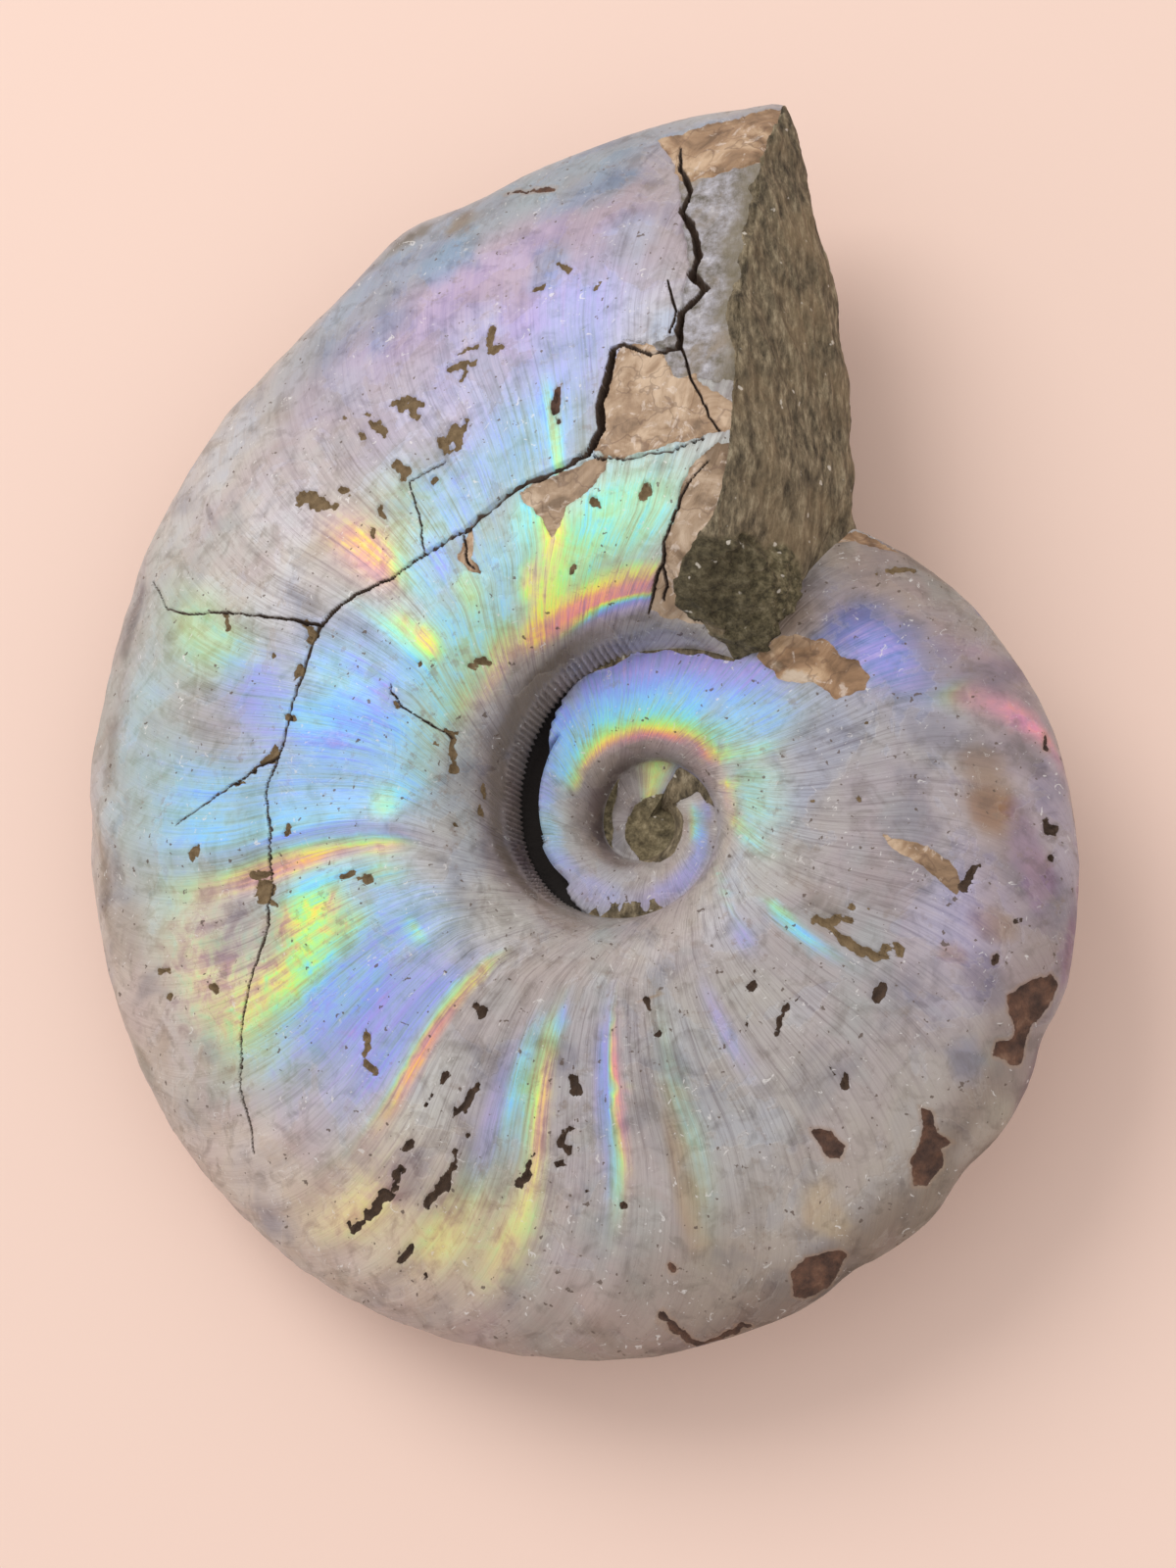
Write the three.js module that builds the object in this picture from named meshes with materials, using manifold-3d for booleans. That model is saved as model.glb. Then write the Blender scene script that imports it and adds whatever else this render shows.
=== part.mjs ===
// Iridescent ammonite: a flat-coiled fossil shell filled with stone and broken across at its
// mouth, as one solid. Millimetres, +Z up. The shell lies on its underside.
import * as THREE from 'three';
import { mergeVertices } from 'three/addons/utils/BufferGeometryUtils.js';
import Module from 'manifold-3d';

// The coil. Angles are in degrees about its axis and grow from the mouth back to the centre.
const MOUTH_ANGLE = 80;
const MOUTH_RADIUS = 84.1; // axis to outer rim at the mouth
const RADIUS_PER_TURN = 2.318;
const UMBILICUS_RADIUS = 17.7; // axis to the seam under the last whorl at the mouth
const UMBILICUS_PER_TURN = 2.767;
const MOUTH_HALF_BREADTH = 18.1;
const WIDEST_AT = 0.38; // of the rim's radius

// The whorl's section runs by a flank angle: 90 at the rim, 0 at the widest line, -90 at the seam.
const FLANK = { bend: 1.3, round: 0.55 };
const SHOULDER = { bend: 3.0, round: 0.7 };

// The broken mouth: at each flank angle, the coil angle at which the shell ends.
const BREAK_EDGE = [
  [-90, 56], [-60, 66], [-42, 73.5], [-24, 73], [-12, 68.5], [0, 69],
  [12, 71], [23, 74.4], [35, 77.5], [56, 80], [90, 81.2],
];
const FIRST_ANGLE = 56; // where the break's foot meets the whorl before
const BREAK_FADE = 0.2; // of a turn over which the mesh takes up the slant of the break

// Folds of the shell: coil angle at mid flank, height and half-width in degrees.
const FOLDS = [
  [184, 0.55, 3.2], [190, -0.55, 2.6], [206, 0.3, 3.5], [216, 0.35, 2.2], [225, 0.5, 2.6],
  [231, 0.6, 2.2], [238, 0.55, 2.4], [245, 0.6, 2.2], [251.5, 0.6, 2.0], [258.5, 0.65, 2.0],
  [265, 0.6, 1.9], [272, 0.85, 2.3], [280.5, 0.5, 2.4], [289, 0.4, 2.4], [298, 0.3, 2.6],
  [323, 0.35, 2.6], [336, 0.2, 3.0], [352, 0.2, 3.0], [160, 0.25, 3.2], [145, 0.25, 3.0],
  [130, 0.2, 3.0],
];
// The underside has folds of its own: the first one, their spacing and how many.
const LOWER_FOLDS = { first: 176, step: 8.4, count: 19, height: 0.5, width: 2.4 };

// The open crack across the last whorl: coil angle, flank angle and width in millimetres.
const MAIN_CRACK = [
  [88, 62, 0.4], [85.5, 50, 0.9], [83, 40, 1.0], [83.5, 30, 1.1], [87, 27, 0.8], [91.5, 30, 1.0],
  [93, 16, 1.1], [96, 12.4, 0.9], [120, 12, 0.6], [135, 17, 0.6], [149, 25, 0.7], [170, 26.5, 0.6],
  [190, 30, 0.5], [205, 42, 0.5], [218, 57, 0.4],
];
const SIDE_CRACK = [[148.2, 21, 0.4], [152, 38, 0.6], [155, 56, 0.4]];
const CRACK = { depth: 1.6, above: 1.2, floor: 0.35 };
const CRUMB = 0.02; // edges shorter than this are closed up

// Chips out of the shell: coil angle, flank angle, length, width (mm) and turn (degrees).
const CHIPS = [
  [136.3, 39, 4.4, 2.4, 60], [115.8, 29, 3.2, 2.6, 0], [192, 32, 3.0, 2.6, 20],
  [194, 13, 3.0, 1.4, 60], [161, -31, 4.2, 1.6, -25], [135, -30, 2.6, 2.0, 20],
  [236.8, 52, 6.0, 1.3, 80], [244.5, 46, 3.6, 1.5, 70], [311, 70, 4.6, 2.6, 50],
  [300.5, 49, 3.0, 2.0, 60], [332, 70, 6.0, 3.2, 70], [292, 74, 4.6, 2.6, 0],
  [329, 28, 3.6, 2.0, 75],
];
const CHIP_DEPTH = 1.1;
const LOWER_CHIPS = [
  [118, 42, 6.0, 3.2, 30], [170, 60, 5.0, 2.6, 70], [214, 20, 4.0, 2.4, 10],
  [262, 58, 4.6, 2.6, 50], [318, 40, 5.0, 2.4, 80], [352, 66, 4.0, 2.4, 40],
];

// The open crevice under the shoulder on the upper side, and the stone at the centre.
const CREVICE = { middle: 176, half: 84, depth: 1.9 };
const CENTRE_STONE = { inner: 2.9, middle: 3.3, outer: 3.1, lower: 2.6 };

// The rough stone of the broken mouth: a bulge, a coarse lump at its foot and grain.
const STONE = { bulge: 1.7, lump: 2.6, grain: 0.75 };

// How the fossil leans when it lies at rest, and how much of its underside is worn flat.
const LEAN_X = 1.96;
const LEAN_Y = -4.33;
const WORN = 0.9;

// Mesh counts: around one turn, from rim to overlap line, from there to the seam, across the break.
const AROUND = 104;
const FLANK_ROWS = 8;
const SHOULDER_ROWS = 6;
const BREAK_ROWS = 5;

const rad = THREE.MathUtils.degToRad;
const clamp = THREE.MathUtils.clamp;
const smooth = THREE.MathUtils.smoothstep;
const bell = (x) => Math.exp(-x * x);
const grow = (perTurn, angle) => perTurn ** ((MOUTH_ANGLE - angle) / 360);
const rimRadius = (angle) => MOUTH_RADIUS * grow(RADIUS_PER_TURN, angle);
const seamRadius = (angle) => UMBILICUS_RADIUS * grow(UMBILICUS_PER_TURN, angle);
const halfBreadth = (angle) => MOUTH_HALF_BREADTH * grow(RADIUS_PER_TURN, angle);

// The whorl's flank, as height over half-breadth, at u from its widest line (0) to its rim (1).
const flankHeight = (u) => (1 - clamp(u, 0, 1) ** FLANK.bend) ** FLANK.round;

// How far along the flank of the whorl at this angle the next whorl covers it.
function coverAt(angle) {
  return (seamRadius(angle - 360) / rimRadius(angle) - WIDEST_AT) / (1 - WIDEST_AT);
}

// The flank angle of that line.
function coverAngle(angle) {
  return THREE.MathUtils.radToDeg(Math.asin(clamp(coverAt(angle), 0, 1) ** (FLANK.bend / 2)));
}

// The seam lies on the flank of the whorl before, and dips into the crevice on the upper side.
function seamHeight(angle, side) {
  const onFlank = halfBreadth(angle + 360) * flankHeight(coverAt(angle + 360));
  const along = clamp((angle - CREVICE.middle) / CREVICE.half, -1, 1);
  const open = side > 0 ? Math.cos((along * Math.PI) / 2) ** 2 : 0;
  return onFlank - CREVICE.depth * open;
}

// Radius and height of the whorl's smooth section.
function section(angle, flank, side) {
  const rim = rimRadius(angle);
  const widest = WIDEST_AT * rim;
  const half = halfBreadth(angle);
  const sin = Math.sin(rad(Math.abs(flank)));
  const cos = Math.max(Math.cos(rad(flank)), 0);
  if (flank >= 0) {
    const out = sin ** (2 / FLANK.bend);
    return [widest + (rim - widest) * out, half * cos ** (2 * FLANK.round)];
  }
  const inward = sin ** (2 / SHOULDER.bend);
  const seam = seamHeight(angle, side);
  return [
    widest - (widest - seamRadius(angle)) * inward,
    seam + (half - seam) * cos ** (2 * SHOULDER.round),
  ];
}

// Folds sweep forward at the rim and back towards the umbilicus.
function foldShift(flank) {
  if (flank > 35) return -16 * ((flank - 35) / 55) ** 2;
  if (flank < -5) return 0.3 * (-5 - flank);
  return -1.3 * Math.sin(rad((35 - flank) * 4.5));
}

// How far the real surface stands above the smooth section.
function relief(angle, flank, side) {
  const shown = 1 - smooth(angle, FIRST_ANGLE + 336, FIRST_ANGLE + 358);
  const line = angle - foldShift(flank);
  const reach = smooth(flank, -45, 10) * (1 - 0.8 * smooth(flank, 68, 90));
  let height = 0;
  if (side > 0) {
    for (const [at, rise, width] of FOLDS) height += rise * bell((line - at) / width);
  } else {
    for (let i = 0; i < LOWER_FOLDS.count; i++) {
      const at = LOWER_FOLDS.first + i * LOWER_FOLDS.step;
      const rise = LOWER_FOLDS.height * (0.65 + 0.35 * Math.sin(i * 2.3));
      height += rise * bell((line - at) / LOWER_FOLDS.width);
    }
  }
  return shown * (height * reach * (rimRadius(angle) / 60) + looseShell(angle, flank, side));
}

// Plates of shell that stand proud or are lost, and a ledge of stone on the rim.
function looseShell(angle, flank, side) {
  const window = smooth(flank, -30, -10);
  const lostAtMouth = side > 0 ? (1 - smooth(angle, 80, 90)) * smooth(flank, 0, 30) : 0;
  const raisedPlate = side > 0
    ? smooth(angle, 132, 137) * (1 - smooth(angle, 152, 156)) * smooth(flank, 22, 30) : 0;
  const ledge = bell((angle - 114) / 4.5) * smooth(flank, 66, 84);
  const nicks = [296, 313, 331].reduce((sum, at) => sum + bell((angle - at) / 4), 0);
  const nicked = nicks * smooth(flank, 60, 80);
  return window * (0.45 * raisedPlate - 0.5 * lostAtMouth) + 1.5 * ledge - 0.8 * nicked;
}

// A point of the shell, raised along the section's outward normal.
function shellPoint(angle, flank, side, extra = 0) {
  const [r, h] = section(angle, flank, side);
  const [rOut, hOut] = section(angle, Math.min(flank + 0.5, 90), side);
  const [rIn, hIn] = section(angle, Math.max(flank - 0.5, -90), side);
  const normal = new THREE.Vector2(hIn - hOut, rOut - rIn).normalize();
  const lift = relief(angle, flank, side) + extra;
  const radius = r + normal.x * lift;
  const height = h + normal.y * lift;
  const turn = rad(angle);
  return new THREE.Vector3(radius * Math.cos(turn), radius * Math.sin(turn), side * height);
}

function breakAngle(flank) {
  const next = Math.max(1, BREAK_EDGE.findIndex(([at]) => at >= flank));
  const [from, low] = BREAK_EDGE[next - 1];
  const [to, high] = BREAK_EDGE[next];
  return THREE.MathUtils.mapLinear(flank, from, to, low, high);
}

// Column i of the last whorl starts on the break's edge and straightens as it goes round.
function columnAngle(i, flank) {
  const turned = i / AROUND;
  const slant = Math.max(1 - turned / BREAK_FADE, 0) ** 2;
  return FIRST_ANGLE + 360 * turned + (breakAngle(flank) - FIRST_ANGLE) * slant;
}

// Flank angles of one column, from the rim through the cover line to the seam.
function columnFlanks(angle) {
  const cover = coverAngle(angle);
  const flanks = [];
  for (let j = 0; j <= FLANK_ROWS; j++) flanks.push(90 + (cover - 90) * (j / FLANK_ROWS));
  for (let j = 1; j <= SHOULDER_ROWS; j++) {
    flanks.push(cover + (-90 - cover) * (j / SHOULDER_ROWS));
  }
  return flanks;
}

const triangles = [];

function addTriangle(a, b, c, turned) {
  triangles.push(...(turned ? [a, c, b] : [a, b, c]));
}

// Triangles between two rows of points, which may differ in number.
function stitch(first, second, turned) {
  let i = 0;
  let j = 0;
  while (i < first.length - 1 || j < second.length - 1) {
    const stepFirst = (i + 1) / (first.length - 1);
    const stepSecond = (j + 1) / (second.length - 1);
    if (stepFirst <= stepSecond) {
      addTriangle(first[i], first[i + 1], second[j], turned);
      i += 1;
    } else {
      addTriangle(first[i], second[j + 1], second[j], turned);
      j += 1;
    }
  }
}

// Rows of points along the last whorl, from the rim to the seam.
function lastWhorlRows(side) {
  const rows = Array.from({ length: FLANK_ROWS + SHOULDER_ROWS + 1 }, () => []);
  for (let i = 0; i <= AROUND; i++) {
    const base = FIRST_ANGLE + (360 * i) / AROUND;
    columnFlanks(base).forEach((flank, j) => {
      rows[j].push(shellPoint(columnAngle(i, flank), flank, side));
    });
  }
  return rows;
}

// The whorl before shows only from the seam above it to its own seam, at half the columns.
function innerWhorlRows(side, coveredBy) {
  const rows = [coveredBy];
  for (let j = 1; j <= SHOULDER_ROWS; j++) {
    rows.push([]);
    for (let i = 0; i <= AROUND; i += 2) {
      const angle = FIRST_ANGLE + 360 + (360 * i) / AROUND;
      rows[j].push(shellPoint(angle, columnFlanks(angle)[FLANK_ROWS + j], side));
    }
  }
  return rows;
}

// The stone left in the middle closes the coil inside the second seam.
function closeCentre(side, rows) {
  const edge = [...rows[SHOULDER_ROWS]];
  for (let j = SHOULDER_ROWS - 1; j >= 0; j--) edge.push(rows[j][rows[j].length - 1]);
  const top = side > 0 ? 1 : CENTRE_STONE.lower / CENTRE_STONE.middle;
  const ring = (share, height) => edge.map((p) => new THREE.Vector3(
    p.x * share, p.y * share, THREE.MathUtils.lerp(side * height * top, p.z, share ** 3)));
  const outer = ring(0.72, CENTRE_STONE.outer);
  const inner = ring(0.34, CENTRE_STONE.middle);
  const middle = new THREE.Vector3(0, 0, side * CENTRE_STONE.inner * top);
  stitch(edge, outer, side < 0);
  stitch(outer, inner, side < 0);
  for (let i = 0; i < inner.length - 1; i++) {
    addTriangle(inner[i], inner[i + 1], middle, side < 0);
  }
}

// Uneven stone: a few waves that never line up.
function grain(p) {
  return Math.sin(p.x * 0.9 + p.z * 1.7) * Math.cos(p.y * 0.75 - p.z * 0.6)
    + 0.6 * Math.sin(p.y * 1.9 + p.z * 2.3 + 1) + 0.4 * Math.cos(p.x * 2.7 - p.y * 1.3);
}

// The break runs from the last whorl's edge, over rim and both flanks, to the whorl before.
function closeBreak(upper, lower) {
  const edge = [
    ...upper.map((row) => row[0]).reverse(),
    ...lower.slice(1).map((row) => row[0]),
  ];
  const covered = FLANK_ROWS + 1;
  const foot = [
    ...upper.slice(0, covered).map((row) => row[AROUND]).reverse(),
    ...lower.slice(1, covered).map((row) => row[AROUND]),
  ];
  const forward = new THREE.Vector3(Math.sin(rad(70)), -Math.cos(rad(70)), 0);
  const footAt = (share) => {
    const place = share * (foot.length - 1);
    const index = Math.min(Math.floor(place), foot.length - 2);
    return foot[index].clone().lerp(foot[index + 1], place - index);
  };
  let outer = edge;
  for (let row = 1; row < BREAK_ROWS; row++) {
    const down = row / BREAK_ROWS;
    const ring = edge.map((point, k) => {
      const share = k / (edge.length - 1);
      const inside = Math.sin(Math.PI * share) ** 0.5;
      const place = point.clone().lerp(footAt(share), down);
      const upperFoot = smooth(down, 0.3, 0.8) * bell((share - 0.28) / 0.14);
      const push = STONE.bulge * Math.sin(Math.PI * down) + STONE.lump * upperFoot
        + STONE.grain * grain(place);
      return place.addScaledVector(forward, push * inside);
    });
    stitch(outer, ring, true);
    outer = ring;
  }
  stitch(outer, foot, true);
}

function geometryOf(points) {
  const geometry = new THREE.BufferGeometry().setFromPoints(points);
  return mergeVertices(geometry, 1e-4);
}

const wasm = await Module();
wasm.setup();

function solid(geometry) {
  return new wasm.Manifold(new wasm.Mesh({
    numProp: 3,
    vertProperties: geometry.attributes.position.array,
    triVerts: new Uint32Array(geometry.index.array),
  }));
}

// A closed trench along a line on the shell, wide at the surface and narrow at its floor.
function crackCutter(line) {
  const along = line.map(([angle, flank]) => shellPoint(angle, flank, 1));
  const rings = line.map(([angle, flank, width], i) => {
    const ahead = along[Math.min(i + 1, along.length - 1)];
    const behind = along[Math.max(i - 1, 0)];
    const outward = shellPoint(angle, flank, 1, 1).sub(along[i]).normalize();
    const across = outward.clone().cross(ahead.clone().sub(behind)).setLength(width / 2);
    const top = along[i].clone().addScaledVector(outward, CRACK.above);
    const floor = along[i].clone().addScaledVector(outward, -CRACK.depth);
    return [
      top.clone().add(across), top.clone().sub(across),
      floor.clone().addScaledVector(across, -CRACK.floor),
      floor.clone().addScaledVector(across, CRACK.floor),
    ];
  });
  const corners = [];
  const quad = (a, b, c, d) => corners.push(a, b, c, a, c, d);
  for (let i = 0; i < rings.length - 1; i++) {
    for (let k = 0; k < 4; k++) {
      const next = (k + 1) % 4;
      quad(rings[i][k], rings[i][next], rings[i + 1][next], rings[i + 1][k]);
    }
  }
  const [start, end] = [rings[0], rings[rings.length - 1]];
  quad(start[3], start[2], start[1], start[0]);
  quad(end[0], end[1], end[2], end[3]);
  return geometryOf(corners);
}

// A chip is a shallow, many-sided scoop out of the surface.
function chipCutter([angle, flank, length, width, turn], side) {
  const place = shellPoint(angle, flank, side);
  const outward = shellPoint(angle, flank, side, 1).sub(place).normalize();
  const geometry = new THREE.IcosahedronGeometry(1, 0);
  geometry.deleteAttribute('normal');
  geometry.deleteAttribute('uv');
  const merged = mergeVertices(geometry, 1e-4);
  merged.scale(length / 2, width / 2, CHIP_DEPTH);
  merged.rotateZ(rad(turn + angle));
  merged.applyQuaternion(
    new THREE.Quaternion().setFromUnitVectors(new THREE.Vector3(0, 0, 1), outward));
  merged.translate(place.x, place.y, place.z);
  return merged;
}

function buildBody() {
  const upper = lastWhorlRows(1);
  const lower = lastWhorlRows(-1);
  lower[0] = upper[0];
  for (const [side, rows] of [[1, upper], [-1, lower]]) {
    for (let j = 0; j < rows.length - 1; j++) stitch(rows[j], rows[j + 1], side < 0);
    const inner = innerWhorlRows(side, rows[rows.length - 1]);
    for (let j = 0; j < inner.length - 1; j++) stitch(inner[j], inner[j + 1], side < 0);
    closeCentre(side, inner);
  }
  closeBreak(upper, lower);
  return solid(geometryOf(triangles));
}

function cutDetails(body) {
  let result = body;
  for (const line of [MAIN_CRACK, SIDE_CRACK]) {
    result = result.subtract(solid(crackCutter(line)));
  }
  for (const chip of CHIPS) result = result.subtract(solid(chipCutter(chip, 1)));
  for (const chip of LOWER_CHIPS) result = result.subtract(solid(chipCutter(chip, -1)));
  return largestBody(result);
}

// Crumbs that the cuts leave loose fall away.
function largestBody(manifold) {
  const bodies = manifold.decompose().sort((a, b) => b.volume() - a.volume());
  return bodies[0].simplify(CRUMB);
}

function toGeometry(manifold) {
  const mesh = manifold.getMesh();
  const geometry = new THREE.BufferGeometry();
  geometry.setAttribute('position', new THREE.Float32BufferAttribute(mesh.vertProperties, 3));
  geometry.setIndex(new THREE.Uint32BufferAttribute(mesh.triVerts, 1));
  return geometry;
}

// Lean the body as it lies, wear its lowest points flat and stand it on the middle of its base.
function layDown(body) {
  const leaning = toGeometry(body);
  leaning.rotateX(rad(LEAN_X));
  leaning.rotateY(rad(LEAN_Y));
  leaning.computeBoundingBox();
  const below = leaning.boundingBox.min.z + WORN;
  const floor = new THREE.BoxGeometry(400, 400, 100);
  floor.deleteAttribute('normal');
  floor.deleteAttribute('uv');
  floor.translate(0, 0, below - 50);
  const floorSolid = solid(mergeVertices(floor, 1e-4));
  const worn = toGeometry(largestBody(solid(leaning).subtract(floorSolid)));
  worn.computeBoundingBox();
  const { min, max } = worn.boundingBox;
  worn.translate(-(min.x + max.x) / 2, -(min.y + max.y) / 2, -min.z);
  return worn;
}

const nacre = new THREE.MeshStandardMaterial({ color: 0xb9b2b8, roughness: 0.35, metalness: 0.1 });
const geometry = layDown(cutDetails(buildBody())).toNonIndexed();
geometry.computeVertexNormals();
const fossil = new THREE.Mesh(geometry, nacre);
fossil.name = 'ammonite';

const group = new THREE.Group();
group.name = 'iridescent_ammonite';
group.add(fossil);

export default group;
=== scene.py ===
# Looks of the iridescent ammonite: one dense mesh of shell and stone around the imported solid.
# The mesh is worked out in millimetres in the coil's own frame and then laid down as the solid is.
import math

import bpy
import numpy as np
from mathutils import Matrix, Vector


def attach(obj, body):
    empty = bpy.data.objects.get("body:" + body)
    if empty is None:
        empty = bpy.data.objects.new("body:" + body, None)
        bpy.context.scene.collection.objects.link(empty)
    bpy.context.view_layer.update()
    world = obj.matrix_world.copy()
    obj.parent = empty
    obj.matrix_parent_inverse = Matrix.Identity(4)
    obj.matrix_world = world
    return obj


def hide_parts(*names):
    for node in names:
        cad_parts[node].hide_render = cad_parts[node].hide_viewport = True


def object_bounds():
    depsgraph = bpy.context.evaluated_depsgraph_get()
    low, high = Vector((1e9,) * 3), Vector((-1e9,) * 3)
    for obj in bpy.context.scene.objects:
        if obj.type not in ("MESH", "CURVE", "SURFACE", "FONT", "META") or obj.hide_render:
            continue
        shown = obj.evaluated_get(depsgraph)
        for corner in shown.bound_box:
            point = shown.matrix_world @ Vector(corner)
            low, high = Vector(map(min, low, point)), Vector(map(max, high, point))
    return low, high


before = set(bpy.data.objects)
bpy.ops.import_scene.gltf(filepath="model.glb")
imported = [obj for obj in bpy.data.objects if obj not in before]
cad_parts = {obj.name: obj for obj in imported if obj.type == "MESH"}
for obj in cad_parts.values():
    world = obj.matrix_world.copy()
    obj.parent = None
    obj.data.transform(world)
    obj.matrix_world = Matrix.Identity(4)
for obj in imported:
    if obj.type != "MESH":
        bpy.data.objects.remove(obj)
cad_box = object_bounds()

# The coil, as in the solid. Coil angles grow from the mouth back to the centre, in degrees.
MOUTH_ANGLE = 80
MOUTH_RADIUS = 84.1
RADIUS_PER_TURN = 2.318
UMBILICUS_RADIUS = 17.7
UMBILICUS_PER_TURN = 2.767
MOUTH_HALF_BREADTH = 18.1
WIDEST_AT = 0.38
FLANK_BEND, FLANK_ROUND = 1.3, 0.55
SHOULDER_BEND, SHOULDER_ROUND = 3.0, 0.7
FIRST_ANGLE = 56
LAST_ANGLE = FIRST_ANGLE + 720
BREAK_EDGE = [
    (-90, 56), (-60, 66), (-42, 73.5), (-24, 73), (-12, 68.5), (0, 69),
    (12, 71), (23, 74.4), (35, 77.5), (56, 80), (90, 81.2),
]
BREAK_FADE = 0.2
CENTRE_HEIGHTS = (2.9, 3.3, 3.1)  # of the middle stone: at its centre, half way and at its edge
LOWER_CENTRE = 0.79

# How the coil lies: its lean in degrees and where its own centre ends up, in millimetres.
LEAN_X, LEAN_Y = 1.96, -4.33
AXIS_AT = (11.516, -14.014, 15.705)
MM = 0.001
TINY = 1e-6

# The photograph's camera, in the coil's own frame.
SCALE = 9.69  # image pixels per millimetre at the coil's centre
DISTANCE = 240
COIL_PIXEL = (666, 846)
TILT, DIRECTION = 23.0, -38.0
IMAGE = (1200, 1600)
SENSOR = 36

# The studio: floor half-width, lights (place, size in metres, power, colour) and soft sky.
FLOOR_HALF = 3.0
FLOOR_COLOUR = (0.94, 0.83, 0.775)
LIGHTS = [
    ("window", (-0.5, 0.56, 0.8), 0.75, 5.4, (1.0, 0.985, 0.965)),
    ("fill", (0.7, -0.3, 0.8), 0.9, 1.3, (1.0, 0.97, 0.95)),
]
SKY_COLOUR = (0.97, 0.955, 0.95)
SKY_STRENGTH = 0.76

# Regions of the surface.
LAST, INNER, CENTRE, BREAK = range(4)
UPPER, LOWER = 1, -1

# First mesh, before it is refined.
AROUND = 120
FLANK_ROWS = 9
SHOULDER_ROWS = 7
BREAK_ROWS = 6
CENTRE_SHARES = (0.8, 0.55, 0.3)

# Edge lengths that the mesh is refined to, in millimetres.
FINE = {"line": 0.26, "edge": 0.42, "rib": 0.27, "lump": 0.38, "stone": 0.95, "wall": 0.9,
        "inner": 0.78, "rim": 1.2, "upper": 1.25, "lower": 2.4}
GRADING = 0.5
ROUNDS = 6
CUT_ABOVE = 1.3  # an edge is cut when it is this many times too long

# Folds of the shell: coil angle at mid flank, height and half-width in degrees.
FOLDS = [
    (184, 0.55, 3.2), (190, -0.55, 2.6), (206, 0.3, 3.5), (216, 0.35, 2.2), (225, 0.5, 2.6),
    (231, 0.6, 2.2), (238, 0.55, 2.4), (245, 0.6, 2.2), (251.5, 0.6, 2.0), (258.5, 0.65, 2.0),
    (265, 0.6, 1.9), (272, 0.85, 2.3), (280.5, 0.5, 2.4), (289, 0.4, 2.4), (298, 0.3, 2.6),
    (323, 0.35, 2.6), (336, 0.2, 3.0), (352, 0.2, 3.0), (160, 0.25, 3.2), (145, 0.25, 3.0),
    (130, 0.2, 3.0),
]
LOWER_FOLDS = {"first": 176, "step": 8.4, "count": 19, "height": 0.5, "width": 2.4}

# Cracks of each side: coil angle, flank angle and width in millimetres.
MOUTH_CRACK = [
    (88, 66, 0.2), (87.6, 60, 0.4), (86, 54, 0.7), (86.3, 50, 0.85), (84.6, 46, 0.75),
    (83.4, 42, 0.9), (83.6, 39, 0.9), (81.6, 36.5, 0.9), (83.6, 33, 0.8), (83.2, 28, 0.85),
    (86.5, 27, 0.3), (90.6, 30, 0.3), (91.8, 29.4, 0.8), (92.4, 25, 0.95), (93.2, 21, 1.0),
    (93.0, 17, 0.9), (95.2, 12.8, 0.9), (101, 12, 0.6), (110, 12.4, 0.5), (120, 11.6, 0.4),
    (128, 14, 0.26), (135, 17, 0.24), (142, 21.5, 0.34), (149, 25, 0.46), (158, 25, 0.28),
    (168, 26, 0.26), (177, 29, 0.18), (183, 28, 0.2), (191, 31, 0.2), (197, 33, 0.18),
    (205, 42, 0.16), (213, 52, 0.16), (221, 60, 0.12),
]
UPPER_CRACKS = [
    MOUTH_CRACK,
    [(149, 25.5, 0.4), (151, 33, 0.24), (152.5, 40, 0.16), (154.6, 50, 0.14), (155.3, 58, 0.12),
     (153.2, 66, 0.1)],
    [(83, 28, 0.25), (80.4, 23, 0.18), (76, 16.5, 0.15), (73.5, 14, 0.12)],
    [(73.4, 8, 0.2), (75.4, 3, 0.18), (76.6, -6, 0.2), (77.6, -16, 0.2), (77.6, -26, 0.3),
     (79.6, -36, 0.25), (80.6, -45, 0.2), (82, -52, 0.15)],
    [(77.6, -27, 0.2), (76.4, -36, 0.25), (77.4, -46, 0.2)],
    [(94, 12, 0.2), (88, 9.4, 0.14), (80, 10.2, 0.14), (75.5, 12.4, 0.2)],
    [(170, 26.5, 0.24), (174, 33, 0.2), (177.6, 41, 0.12), (180, 47, 0.1)],
    [(121, 11, 0.14), (122.6, 5, 0.18), (122, 0, 0.1)],
    [(128.6, 14, 0.1), (126, 20, 0.08), (124, 27, 0.08), (118, 25.5, 0.08)],
    [(152.4, 2, 0.12), (156, -3, 0.1), (157.6, -28, 0.08)],
    [(86, 38, 0.16), (84.2, 33.4, 0.2), (84.4, 30, 0.16)],
]
LOWER_CRACKS = [
    [(84, 70, 0.8), (88, 52, 0.9), (86, 38, 0.7), (94, 24, 0.7), (108, 20, 0.5), (126, 26, 0.4),
     (148, 20, 0.4), (171, 27, 0.3), (190, 38, 0.25), (202, 55, 0.2)],
    [(108, 20, 0.4), (112, 2, 0.35), (118, -18, 0.3), (116, -40, 0.25)],
    [(262, 74, 0.3), (268, 50, 0.3), (278, 30, 0.25), (283, 8, 0.2)],
]

# How deep, in millimetres, each kind of mark lies below the shell.
DEPTH = {"crack": 1.25, "bare": 0.42, "calcite": 0.3, "pit": 0.5, "rust": 0.42}
RIB_HEIGHT, RIB_SUNK = 0.22, 0.12
RIBBED_FLANK = (-70, -62)
RIBBED_COIL = ((82, 100), (215, 245))
PLATE_HEIGHT, LEDGE_HEIGHT, NICK_DEPTH = 0.45, 1.5, 0.8
LEDGE_AT = 114
NICKS_AT = (296, 313, 331)

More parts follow.
